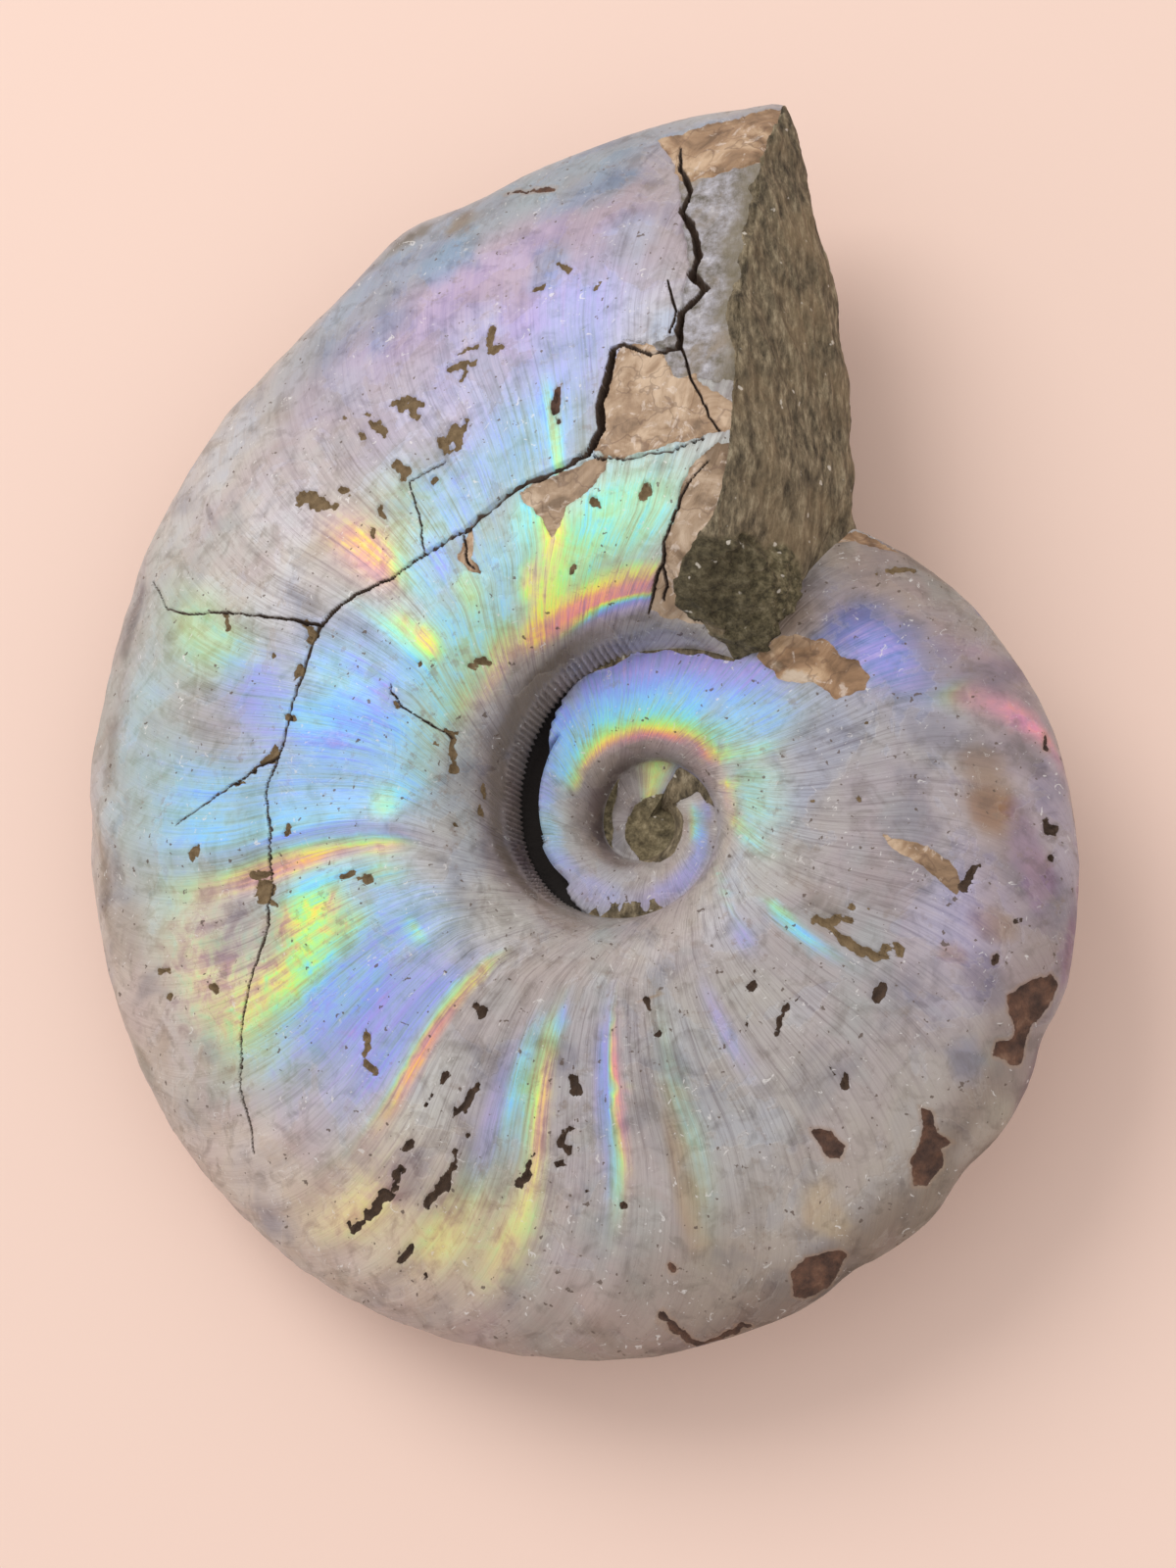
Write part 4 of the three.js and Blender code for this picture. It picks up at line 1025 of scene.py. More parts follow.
def lobe_depth(surface, place):
    """How deep inside the lump's lobes a vertex near the mouth is."""
    near = (surface.region == BREAK) | ((surface.region == LAST) & (surface.coil < 84))
    near |= (surface.region == INNER) & (surface.coil < FIRST_ANGLE + 372)
    best = np.full(len(surface.u), -9.0)
    wave = 1.3 * rough(place, 3.2, 47, 3)
    for middle, radius, _, _ in LOBES:
        best = np.maximum(best, radius - np.linalg.norm(place - middle, axis=1) + wave)
    return np.where(near & (surface.side > 0), best, -9.0)


def second_crevice(surface, place):
    """Stone that fills the crevice between the second whorl and the one inside it."""
    opening, width = crevice_gap(surface.coil, CREVICES[1])
    radius = seam_radius(surface.coil)
    depth = width - (1 - surface.v) * radius + 0.12 * noise(place / 0.7, 49)
    ring = (surface.region == CENTRE) & (surface.side > 0) & (opening > 0.02)
    return np.where(ring, depth, -9.0)


def crevice_gap(coil, crevice):
    """How far open a crevice is, from 0 to 1, and how wide in millimetres."""
    opening = smooth(coil, *crevice["from"]) * (1 - smooth(coil, *crevice["to"]))
    return opening, crevice["width"] * opening


def edge_size(surface, marks):
    """The edge length, in millimetres, that the mesh needs at each vertex."""
    upper = surface.side > 0
    size = np.where(upper, FINE["upper"], FINE["lower"])
    size = np.where(surface.flank > 62, FINE["rim"] + 0.25 * (~upper), size)
    wall = upper & (surface.flank < -42)
    size = np.where(wall, FINE["wall"], size)
    inner = (surface.region == INNER) | (surface.region == CENTRE)
    size = np.where(inner & upper, FINE["inner"], size)
    size = np.where(surface.region == BREAK, FINE["stone"] + 0.2 * (~upper), size)
    near_line = FINE["line"] + GRADING * np.maximum(-marks.crack - 0.25, 0)
    edges = np.maximum.reduce([marks.pit, marks.calcite, marks.rust, marks.bare])
    closest = np.minimum.reduce([np.abs(marks.pit), np.abs(marks.calcite), np.abs(marks.rust),
                                 np.abs(marks.stone)])
    closest = np.where(edges > 0.7, 0.4, closest)
    near_edge = FINE["edge"] + GRADING * np.maximum(closest - 0.3, 0)
    coarser = np.where(upper, 1, 2.2)
    size = np.minimum(size, np.minimum(near_line, near_edge) * coarser)
    opening, _ = crevice_gap(surface.coil, CREVICES[0])
    seam = np.where(surface.region == INNER, np.abs(marks.seam), 9)
    near_seam = FINE["edge"] + GRADING * np.maximum(seam - 1.9, 0)
    size = np.where(upper & (opening > 0.02), np.minimum(size, near_seam), size)
    ribs = wall_ribs(surface) > 0.05
    size = np.where(ribs, np.minimum(size, FINE["rib"]), size)
    lump = FINE["lump"] + GRADING * np.maximum(-marks.lobe, 0)
    size = np.minimum(size, lump)
    return np.where(upper, np.minimum(size, FINE["edge"] + GRADING * marks.mouth), size)


def wall_ribs(surface):
    """Where the wall round the umbilicus is ribbed."""
    start, end = RIBBED_COIL
    low = 1 - smooth(surface.flank, *RIBBED_FLANK)
    along = smooth(surface.coil, *start) * (1 - smooth(surface.coil, *end))
    return low * along * (surface.side > 0) * (surface.region == LAST)


def rib_wave(surface, place):
    """The ribs of that wall, from -1 in a groove to 1 on a rib."""
    return np.sin(rad(surface.coil * 150 + 110 * noise(place / 2.4, 64)))


def first_at(place, places):
    """The first vertex at each place."""
    first = np.full(places, -1)
    first[place[::-1]] = np.arange(len(place))[::-1]
    return first


def split(surface, place, triangles, places):
    """One round of cutting every edge that is longer than its ends allow."""
    marks = Marks(surface)
    point = smooth_positions(surface)
    size = edge_size(surface, marks)
    spot = point[first_at(place, places)]
    smallest = np.full(places, 99.0)
    np.minimum.at(smallest, place, size)
    ends = triangles[:, [[0, 1], [1, 2], [2, 0]]]
    by_place = np.sort(place[ends], axis=2).reshape(-1, 2)
    key, back = np.unique(by_place[:, 0] * places + by_place[:, 1], return_inverse=True)
    a, b = key // places, key % places
    length = np.linalg.norm(spot[a] - spot[b], axis=1)
    cut = length > CUT_ABOVE * np.minimum(smallest[a], smallest[b])
    new_place = np.where(cut, places + np.cumsum(cut) - 1, -1)
    marked = cut[back].reshape(-1, 3)
    own = np.sort(ends, axis=2).reshape(-1, 2)
    wanted = marked.ravel()
    count = len(surface.u)
    own_key, own_first, own_back = np.unique(
        own[wanted, 0] * count + own[wanted, 1], return_index=True, return_inverse=True)
    p, q = own_key // count, own_key % count
    middle = np.full(len(triangles) * 3, -1)
    middle[wanted] = count + own_back
    middle = middle.reshape(-1, 3)
    surface = Surface(np.append(surface.region, surface.region[p]),
                      np.append(surface.side, surface.side[p]),
                      np.append(surface.u, (surface.u[p] + surface.u[q]) / 2),
                      np.append(surface.v, (surface.v[p] + surface.v[q]) / 2))
    place = np.append(place, new_place[back[wanted][own_first]])
    point = np.concatenate([point, (point[p] + point[q]) / 2])
    return surface, place, cut_triangles(triangles, middle, marked, point), places + int(cut.sum())


def cut_triangles(triangles, middle, marked, point):
    """Each triangle in one to four, by which of its edges are cut."""
    count = marked.sum(axis=1)
    parts = [triangles[count == 0]]
    whole = count == 3
    (a, b, c), (ab, bc, ca) = triangles[whole].T, middle[whole].T
    parts += [np.stack(t, 1) for t in ((a, ab, ca), (ab, b, bc), (ca, bc, c), (ab, bc, ca))]
    for turn in range(3):
        order = [turn, (turn + 1) % 3, (turn + 2) % 3]
        one = (count == 1) & marked[:, turn]
        a, b, c = triangles[one][:, order].T
        ab = middle[one][:, turn]
        parts += [np.stack(t, 1) for t in ((a, ab, c), (ab, b, c))]
        two = (count == 2) & ~marked[:, order[2]]
        a, b, c = triangles[two][:, order].T
        ab, bc = middle[two][:, order[0]], middle[two][:, order[1]]
        parts.append(np.stack((ab, b, bc), 1))
        short = (np.linalg.norm(point[a] - point[bc], axis=1)
                 < np.linalg.norm(point[ab] - point[c], axis=1))
        parts += [np.stack(t, 1)[short] for t in ((a, ab, bc), (a, bc, c))]
        parts += [np.stack(t, 1)[~short] for t in ((a, ab, c), (ab, bc, c))]
    return np.concatenate(parts)


def fold_height(surface):
    """Folds of the shell, and the finer ridges that run along them."""
    coil, flank, side = surface.coil, surface.flank, surface.side
    line = coil - fold_shift(flank)
    height = np.zeros(len(line))
    for at, rise, width in FOLDS:
        height += (side > 0) * rise * bell((line - at) / width)
    for i in range(LOWER_FOLDS["count"]):
        at = LOWER_FOLDS["first"] + i * LOWER_FOLDS["step"]
        rise = LOWER_FOLDS["height"] * (0.65 + 0.35 * math.sin(i * 2.3))
        height += (side < 0) * rise * bell((line - at) / LOWER_FOLDS["width"])
    reach = smooth(flank, -45, 10) * (1 - 0.8 * smooth(flank, 68, 90))
    ridges = noise(np.stack([line * 0.62, flank / 40, side * 3.0], 1), 51)
    ridges += 0.5 * noise(np.stack([line * 1.4, flank / 30, side * 3.0], 1), 52)
    shown = 1 - smooth(coil, FIRST_ANGLE + 336, FIRST_ANGLE + 358)
    ribbed = smooth(flank, -85, -60) * (1 - smooth(flank, 70, 88))
    size = rim_radius(coil) / 60
    return shown * height * reach * size + 0.085 * size * ridges * ribbed


def plates(surface):
    """Plates of shell that stand proud or are lost, the ledge and the nicks of the rim."""
    coil, flank, upper = surface.coil, surface.flank, surface.side > 0
    shown = 1 - smooth(coil, FIRST_ANGLE + 336, FIRST_ANGLE + 358)
    raised = upper * smooth(coil, 132, 137) * (1 - smooth(coil, 152, 156)) * smooth(flank, 22, 30)
    ledge = bell((coil - LEDGE_AT) / 4.5) * smooth(flank, 66, 84)
    nicks = sum(bell((coil - at) / 4) for at in NICKS_AT) * smooth(flank, 60, 80)
    return shown * (PLATE_HEIGHT * raised + LEDGE_HEIGHT * ledge - NICK_DEPTH * nicks)


def seam_trench(surface, marks):
    """The inner side of the open crevice, as a lift."""
    _, width = crevice_gap(surface.coil, CREVICES[0])
    opening = np.clip(width / CREVICES[0]["width"], 0, 1)
    wall = 1 - smooth(marks.seam, width * 0.8 + 0.02, width * 1.1 + 0.1)
    whorl = (surface.region == INNER) & (surface.side > 0)
    return np.where(whorl, -CREVICES[0]["depth"] * opening ** 0.6 * wall, 0)


def shell_lift(surface, marks, place):
    """How far the real surface stands above the smooth section, in millimetres."""
    lift = fold_height(surface) + plates(surface)
    window = smooth(surface.flank, -88, -72) * (1 - smooth(surface.flank, 84, 90))
    lift += 0.16 * rough(place, 9.0, 61, 3) * smooth(surface.flank, -88, -60)
    lift += 0.05 * rough(place, 1.7, 62, 3)
    lift += wall_ribs(surface) * (RIB_HEIGHT * rib_wave(surface, place) - RIB_SUNK)
    lift -= DEPTH["bare"] * smooth(marks.bare, -0.15, 0.15) * window
    pitted = smooth(marks.bare, 0.1, 1.2)
    lift += 0.15 * rough(place, 1.5, 63, 3) * pitted
    chipped = smooth(marks.calcite, -0.12, 0.12) * (marks.bare < 0)
    lift -= chipped * (DEPTH["calcite"] + 0.12 * rough(place, 2.2, 65, 2)) * window
    lift -= smooth(marks.pit, -0.08, 0.25) * (DEPTH["pit"] + 0.15 * noise(place / 0.6, 67))
    eaten = DEPTH["rust"] + 0.2 * rough(place, 1.2, 69, 2)
    lift -= smooth(marks.rust, -0.1, 0.4) * eaten * window
    lift += smooth(marks.crumb, -0.05, 0.4) * (0.25 + 0.3 * rough(place, 1.1, 71, 2))
    crack = smooth(marks.crack, -0.07, 0.1)
    deep = np.clip(marks.crack * 4 + 0.8, 0.35, 1)
    lift -= DEPTH["crack"] * crack * deep
    lump = smooth(marks.lobe, -0.1, 1.5) * (0.9 + STONE["crumb"] * rough(place, 1.9, 85, 3))
    return lift + seam_trench(surface, marks) + lump + edge_wear(surface, marks.mouth, place)


def edge_wear(surface, away, place):
    """The shell's broken edge is rounded off and uneven."""
    worn = WORN_EDGE["depth"] * (0.8 + 0.9 * rough(place, 2.4, 75, 3))
    upright = 1 - smooth(np.abs(surface.flank), 80, 90)
    return -np.clip(worn, 0, 1.4) * np.exp(-away / WORN_EDGE["width"]) * upright


def disc_sink(marks, place):
    """The stone disc lies a little below the nacre round it and is rough."""
    inside = smooth(marks.disc, -0.05, 0.3)
    return inside * (-DISC["sunk"] + 0.28 * rough(place, 1.5, 73, 3))


def centre_points(surface, marks):
    """The middle: a shallow dish of nacre with the sunken disc of stone."""
    edge = shell_point(surface.coil, surface.flank, surface.side, np.zeros(len(surface.u)))
    share = surface.v
    middle, half_way, rim = CENTRE_HEIGHTS
    height = np.interp(share, (0, 0.34, 0.72, 1), (middle, half_way, rim, rim))
    height = surface.side * height * np.where(surface.side > 0, 1, LOWER_CENTRE)
    z = height + (edge[:, 2] - height) * share ** 3
    points = np.stack([edge[:, 0] * share, edge[:, 1] * share, z], axis=1)
    if marks is not None:
        points[:, 2] += surface.side * disc_sink(marks, points)
    return points


def face_points(surface, marks):
    """The broken face: from edge to foot, pushed out into a bulge, a coarse lump and grain."""
    zero = np.zeros(len(surface.u))
    last = Surface(np.full(len(surface.u), LAST), surface.side, surface.coil, surface.flank)
    edge = shell_point(surface.coil, surface.flank, surface.side, zero)
    if marks is not None:
        lift = fold_height(last) + plates(last) + edge_wear(last, zero, edge)
        edge = shell_point(surface.coil, surface.flank, surface.side, lift)
    cover = cover_flank(FIRST_ANGLE + 360.0)
    foot_flank = 90 - np.abs(surface.u) * (90 - cover)
    foot = shell_point(np.full(len(surface.u), FIRST_ANGLE + 360.0), foot_flank, surface.side, zero)
    down, share = surface.v, (1 - surface.u) / 2
    place = edge + (foot - edge) * down[:, None]
    inside = np.sqrt(np.clip(np.sin(math.pi * share), 0, 1))
    push = STONE["bulge"] * np.sin(math.pi * down)
    lobes = np.zeros(len(down))
    for middle, radius, rise, _ in LOBES:
        lobes += rise * bell(np.linalg.norm(place - middle, axis=1) / radius)
    middle, radius, sink = HOLLOW
    lobes -= sink * bell(np.linalg.norm(place - middle, axis=1) / radius)
    if marks is not None:
        fibres = place * np.array([1.0, 0.35, 1.0])
        push = push + STONE["grain"] * (rough(place, 7.0, 81, 2) + 0.7 * rough(fibres, 1.5, 83, 3))
        lump = smooth(marks.lobe, -0.3, 1.2)
        lobes = lobes + STONE["crumb"] * lump * rough(place, 1.7, 85, 4)
        edge_fade = smooth(np.minimum(down, 1 - down), 0, 0.04)
        push = push * (0.15 + 0.85 * edge_fade)
    turn = math.radians(FACE_TURN)
    forward = np.array([math.sin(turn), -math.cos(turn), 0])
    near_end = np.clip(inside * 3, 0, 1) * smooth(1 - down, 0, 0.08)
    return place + (push * inside + lobes * near_end)[:, None] * forward


def lump_share(place):
    """How dark and coarse the stone is, from the lobe that a place lies on."""
    share, total = np.zeros(len(place)), np.full(len(place), TINY)
    for middle, radius, _, tone in LOBES:
        weight = bell(np.linalg.norm(place - middle, axis=1) / radius) ** 2
        share, total = share + tone * weight, total + weight
    return share / total


def positions(surface, lift, marks):
    """Places of the vertices in the coil's frame, in millimetres."""
    points = np.zeros((len(surface.u), 3))
    for region, place_of in ((CENTRE, centre_points), (BREAK, face_points)):
        chosen = np.flatnonzero(surface.region == region)
        points[chosen] = place_of(surface.part(chosen), marks and marks_of(marks, chosen))
    shell = np.flatnonzero(surface.shell)
    points[shell] = shell_point(surface.coil[shell], surface.flank[shell], surface.side[shell],
                                lift[shell])
    return points


def smooth_positions(surface):
    """Places of the vertices before any mark or relief."""
    return positions(surface, np.zeros(len(surface.u)), None)


def marks_of(marks, chosen):
    """The same marks for some of the vertices."""
    part = Marks.__new__(Marks)
    part.__dict__ = {name: value[chosen] for name, value in marks.__dict__.items()
                     if isinstance(value, np.ndarray)}
    return part


def lean(size):
    """The turn that lays the coil on its flank."""
    return (Matrix.Rotation(math.radians(LEAN_Y), size, "Y")
            @ Matrix.Rotation(math.radians(LEAN_X), size, "X"))


def lay_down(points):
    """From the coil's frame to the row's, in metres, with the worn side flat on the floor."""
    placed = points @ np.array(lean(3)).T + np.array(AXIS_AT)
    return np.clip(placed * MM, cad_box[0], cad_box[1])


def soft_patches(surface, patches):
    """Weights of soft patches at the vertices, following the growth lines."""
    line = surface.coil - fold_shift(surface.flank)
    weights = np.zeros((len(patches), len(surface.u)))
    for k, (coil, flank, half_coil, half_flank, *_) in enumerate(patches):
        centre_line = coil - float(fold_shift(np.array([flank]))[0])
        weights[k] = bell((line - centre_line) / half_coil) * bell(
            (surface.flank - flank) / half_flank)
    return weights


def blend_patches(surface, upper, lower, values_of, background, floor):
    """Weighted mean of the patches' values at each vertex, with a background where none reach."""
    values = np.zeros((len(surface.u), len(background)))
    strength = np.zeros(len(surface.u))
    for side, patches in ((UPPER, upper), (LOWER, lower)):
        chosen = np.flatnonzero(surface.side == side)
        weights = soft_patches(surface.part(chosen), patches)
        table = np.array([values_of(patch) for patch in patches], float)
        total = weights.sum(axis=0) + floor
        values[chosen] = (weights.T @ table + floor * np.array(background)) / total[:, None]
        strength[chosen] = total
    return values, strength


def painted_sheen_of(surface):
    """Phase, strength and patchiness of the painted iridescent sheen at each vertex."""
    by_strength, total = blend_patches(
        surface, UPPER_PAINTED_SHEEN, LOWER_PAINTED_SHEEN,
        lambda p: (p[4] * p[5], p[5], p[6] * p[5], p[5] * p[5]), (0.0, 0.0, 0.0, 0.0), TINY)
    weight = np.maximum(by_strength[:, 1], TINY)
    cover = np.clip(total * 1.15, 0, 1)
    return np.stack([by_strength[:, 0] / weight, by_strength[:, 3] / weight * cover,
                     by_strength[:, 2] / weight], axis=1)


def linear(tone):
    """A colour as on screen, turned into the linear values that shaders use."""
    c = np.asarray(tone, float)
    return np.where(c <= 0.04045, c / 12.92, ((c + 0.055) / 1.055) ** 2.4)


def tint_and_shade_of(surface, scale, place):
    """Shell colour at each vertex, with its stains and the painted shade of the walls and the lower
    rim.
    """
    tint_and_shade, _ = blend_patches(surface, UPPER_TINTS_AND_SHADE, LOWER_TINTS, lambda p: p[4], PLAIN_TINT, 0.12)
    wave = 0.8 * rough(place, 2.4, 91, 3)
    # Entries are stains, and the narrow ones along the lower rim are painted shade.
    for x, y, along, across, stain in PHOTO_STAINS_AND_SHADE:
        coil, flank = FINDER.find(x, y)
        off = np.hypot((surface.coil - coil) * scale[0] / along,
                       (surface.flank - flank) * scale[1] / across)
        share = (1 - smooth(off + wave * 0.45, 0.45, 1.25)) * 0.85 * (surface.side > 0)
        tint_and_shade += (np.array(stain) - tint_and_shade) * share[:, None]
    return linear(tint_and_shade * BASE_GAIN)


def build_mesh():
    """Refines the coarse net and lifts it into the fossil's relief."""
    net = coarse_net()
    region, side, u, v = zip(*net.rows)
    surface = Surface(region, side, u, v)
    place = np.array(net.place)
    triangles = np.array(net.triangles)
    places = net.places
    for _ in range(ROUNDS):
        surface, place, triangles, places = split(surface, place, triangles, places)
    marks = Marks(surface)
    lift = shell_lift(surface, marks, smooth_positions(surface))
    points = positions(surface, lift, marks)
    mesh = bpy.data.meshes.new("ammonite_fossil")
    corners = place[triangles]
    laid = lay_down(points[first_at(place, places)])
    mesh.vertices.add(places)
    mesh.vertices.foreach_set("co", laid.astype(np.float32).ravel())
    mesh.loops.add(corners.size)
    mesh.loops.foreach_set("vertex_index", corners.ravel().astype(np.int32))
    mesh.polygons.add(len(corners))
    mesh.polygons.foreach_set("loop_start", np.arange(0, corners.size, 3, dtype=np.int32))
    mesh.update(calc_edges=True)
    mesh.polygons.foreach_set("use_smooth", np.ones(len(corners), bool))
    add_attributes(mesh, surface, marks, triangles.ravel())
    return mesh


def add_attributes(mesh, surface, marks, corner):
    """What the material reads: where a corner is, what it is made of, and its painted sheen and
    shade.
    """
    line = surface.coil - fold_shift(surface.flank)
    place = smooth_positions(surface)
    lump = lump_share(place) * smooth(marks.lobe, -0.5, 0.3)
    coarse = smooth(marks.lobe, -0.5, 0.3) + 0.7 * (surface.region == CENTRE)
    # Painted shade for the grooves between the wall's ribs.
    groove = wall_ribs(surface) * (0.5 - 0.5 * rib_wave(surface, place))
    columns = {
        "growth": np.stack([line, surface.flank, surface.side * 3.0], 1),
        "tint_and_shade": tint_and_shade_of(surface, marks.scale, place),
        "sheen": painted_sheen_of(surface),
        "cuts": np.stack([marks.crack, marks.pit, marks.rust], 1),
        "coats": np.stack([marks.calcite, marks.stone, marks.bare], 1),
        "extra": np.stack([marks.tone, lump, trench_shade(surface, marks)], 1),
        "more": np.stack([marks.dark, coarse, marks.mouth], 1),
        "ribs": np.stack([groove, groove, groove], 1),
    }
    for name, values in columns.items():
        attribute = mesh.attributes.new(name, "FLOAT_VECTOR", "CORNER")
        attribute.data.foreach_set("vector", values[corner].astype(np.float32).ravel())


def trench_shade(surface, marks):
    """Painted shade: 1 deep in the open crevice and at the foot of the wall beside it, 0 outside.
    """
    opening, width = crevice_gap(surface.coil, CREVICES[0])
    whorl = (surface.region == INNER) & (surface.side > 0)
    near = 1 - smooth(marks.seam, width * 0.85, width * 1.02 + TINY)
    inner = smooth(opening, 0.02, 0.08) * near
    beside, _ = crevice_gap(surface.coil + 360, CREVICES[0])
    wall = (surface.region == LAST) & (surface.side > 0)
    outer = smooth(beside, 0.02, 0.2) * (1 - smooth(surface.flank, -88.4, -85))
    return np.where(whorl, inner, np.where(wall, outer, 0))


class Nodes:
    """Short hand for a material's node tree."""

    def __init__(self, name):
        self.material = bpy.data.materials.new(name)
        self.material.use_nodes = True
        self.tree = self.material.node_tree
        self.tree.nodes.clear()

    def add(self, kind, inputs=None, **settings):
        node = self.tree.nodes.new(kind)
        for name, value in settings.items():
            setattr(node, name, value)
        for key, value in (inputs or {}).items():
            self.put(node.inputs[key], value)
        return node

    def put(self, socket, value):
        if isinstance(value, bpy.types.NodeSocket):
            self.tree.links.new(value, socket)
        elif value is not None:
            socket.default_value = value

    def math(self, operation, a, b=None, clamp=False):
        node = self.add("ShaderNodeMath", operation=operation, use_clamp=clamp)
        for k, value in enumerate((a, b)):
            self.put(node.inputs[k], value)
        return node.outputs[0]

    def times(self, a, b, clamp=False):
        return self.math("MULTIPLY", a, b, clamp=clamp)

    def plus(self, a, b, clamp=False):
        return self.math("ADD", a, b, clamp=clamp)

    def rest(self, share):
        """What a share leaves of 1."""
        return self.math("SUBTRACT", 1.0, share)

    def step(self, value, low, high):
        """0 below low and 1 above high, smooth between."""
        node = self.add("ShaderNodeMapRange", {"Value": value, "From Min": low, "From Max": high},
                        interpolation_type="SMOOTHSTEP")
        return node.outputs[0]

    def spread(self, value, low, high, to_low, to_high):
        node = self.add("ShaderNodeMapRange", {
            "Value": value, "From Min": low, "From Max": high, "To Min": to_low,
            "To Max": to_high})
        return node.outputs[0]

    def mix(self, share, a, b, blend="MIX"):
        node = self.add("ShaderNodeMix", data_type="RGBA", blend_type=blend)
        for key, value in ((0, share), (6, a), (7, b)):
            self.put(node.inputs[key], value)
        return node.outputs[2]

    def parts(self, attribute):
        """The three numbers of an attribute."""
        source = self.add("ShaderNodeAttribute", attribute_name=attribute)
        return self.add("ShaderNodeSeparateXYZ", {0: source.outputs["Vector"]}).outputs[:3]

    def vector(self, x, y, z):
        return self.add("ShaderNodeCombineXYZ", {0: x, 1: y, 2: z}).outputs[0]

    def noise(self, vector, scale, detail=2.0, roughness=0.5, distortion=0.0):
        node = self.add("ShaderNodeTexNoise", {
            "Vector": vector, "Scale": scale, "Detail": detail, "Roughness": roughness,
            "Distortion": distortion})
        return node.outputs["Fac"]

    def ramp(self, value, stops):
        node = self.add("ShaderNodeValToRGB", {"Fac": value})
        elements = node.color_ramp.elements
        while len(elements) < len(stops):
            elements.new(0.5)
        for element, (position, tone) in zip(elements, stops):
            element.position = position
            element.color = colour(tone)
        return node.outputs["Color"]


# The painted sheen's colours by phase, colours of the cracks and edges, and the painted shade
# of the open crevice, as on screen.
SPECTRUM = [
    (0.0, (0.96, 0.58, 0.74)), (0.09, (1.0, 0.6, 0.6)), (0.19, (1.0, 0.76, 0.48)),
    (0.29, (0.99, 0.95, 0.42)), (0.4, (0.76, 0.98, 0.52)), (0.5, (0.64, 0.95, 0.72)),
    (0.6, (0.55, 0.91, 0.94)), (0.7, (0.52, 0.8, 1.0)), (0.8, (0.53, 0.66, 0.98)),
    (0.9, (0.64, 0.61, 0.91)), (1.0, (0.76, 0.7, 0.84)),
]
BROWN = (0.24, 0.17, 0.12)
THIN_CRACK = (0.34, 0.28, 0.24)
# Painted shade of the open crevice.
TRENCH_PAINTED_SHADE = (0.13, 0.11, 0.1)
RUST_RIM = (0.62, 0.5, 0.4)


def colour(values):
    """A colour as on screen, as a shader socket takes it."""
    return (*linear(values), 1)


def centred(n, value, amount):
    """Noise from 0 to 1 turned into a swing either way of zero."""
    return n.times(n.math("SUBTRACT", value, 0.5), amount)


def nacre_colour(n, place):
    """Base colour under a painted iridescent sheen that breaks up along the growth lines."""
    line, flank, layer = n.parts("growth")
    phase, strength, patchy = n.parts("sheen")
    streak_at = n.vector(n.times(line, 0.9), n.times(flank, 0.03), layer)
    streak = n.noise(streak_at, 1.0, 4.0, 0.6)
    fine_at = n.vector(n.times(line, 2.8), n.times(flank, 0.05), layer)
    fine = n.noise(fine_at, 1.0, 3.0, 0.65)
    mottle = n.noise(place, 420.0, 4.0, 0.62, 0.6)
    cloud = n.noise(place, 110.0, 4.0, 0.55, 0.4)
    lined = n.rest(n.times(n.step(flank, 34.0, 62.0), 0.72))
    swing = n.plus(centred(n, streak, 0.4), centred(n, fine, 0.2))
    shift = n.times(swing, lined)
    patch_shift = n.times(centred(n, mottle, 2.0), patchy)
    total = n.plus(n.plus(phase, shift), patch_shift)
    total = n.plus(total, centred(n, cloud, 0.26), clamp=True)
    painted_sheen_colour = n.ramp(total, SPECTRUM)
    lines = n.times(n.spread(streak, 0.32, 0.66, 0.45, 1.15),
                    n.spread(fine, 0.3, 0.66, 0.6, 1.15))
    patches = n.times(n.spread(cloud, 0.34, 0.62, 0.55, 1.15),
                      n.spread(mottle, 0.34, 0.62, 0.75, 1.1))
    breakup = n.times(n.spread(lined, 0.28, 1.0, 1.0, lines), patches)
    amount = n.times(strength, n.times(breakup, 1.35), clamp=True)
    base = base_colour(n, place, lined, streak, fine, mottle, cloud)
    look = wall_bands(n, n.mix(amount, base, painted_sheen_colour), line, flank, cloud, fine)
    return look, streak, fine, mottle


def base_colour(n, place, lined, streak, fine, mottle, cloud):
    """The shell's own colour with the painted shade it carries, clouded, flecked and lined."""
    tint_and_shade = n.add("ShaderNodeAttribute", attribute_name="tint_and_shade").outputs["Vector"]
    hue = n.ramp(n.noise(place, 48.0, 4.0, 0.6, 0.3), [
        (0.3, (0.93, 0.95, 1.0)), (0.45, (1.0, 0.99, 0.97)), (0.55, (0.98, 0.95, 0.96)),
        (0.68, (0.93, 0.97, 0.97))])
    base = n.mix(1.0, tint_and_shade, hue, "MULTIPLY")
    spots = n.ramp(cloud, [
        (0.32, (0.8, 0.8, 0.84)), (0.46, (0.98, 0.97, 0.97)), (0.6, (1, 1, 1)),
        (0.74, (0.9, 0.86, 0.82))])
    base = n.mix(0.9, base, spots, "MULTIPLY")
    flecks = n.ramp(mottle, [(0.34, (0.86, 0.85, 0.84)), (0.5, (1, 1, 1)), (0.8, (1, 1, 1))])
    base = n.mix(1.0, base, flecks, "MULTIPLY")
    grey = n.ramp(streak, [(0.3, (0.84, 0.82, 0.83)), (0.5, (1, 1, 1)), (0.75, (1, 1, 1))])
    base = n.mix(lined, base, n.mix(1.0, base, grey, "MULTIPLY"))
    hair = n.ramp(fine, [(0.32, (0.86, 0.84, 0.84)), (0.5, (1, 1, 1)), (0.8, (1, 1, 1))])
    return n.mix(lined, base, n.mix(1.0, base, hair, "MULTIPLY"))


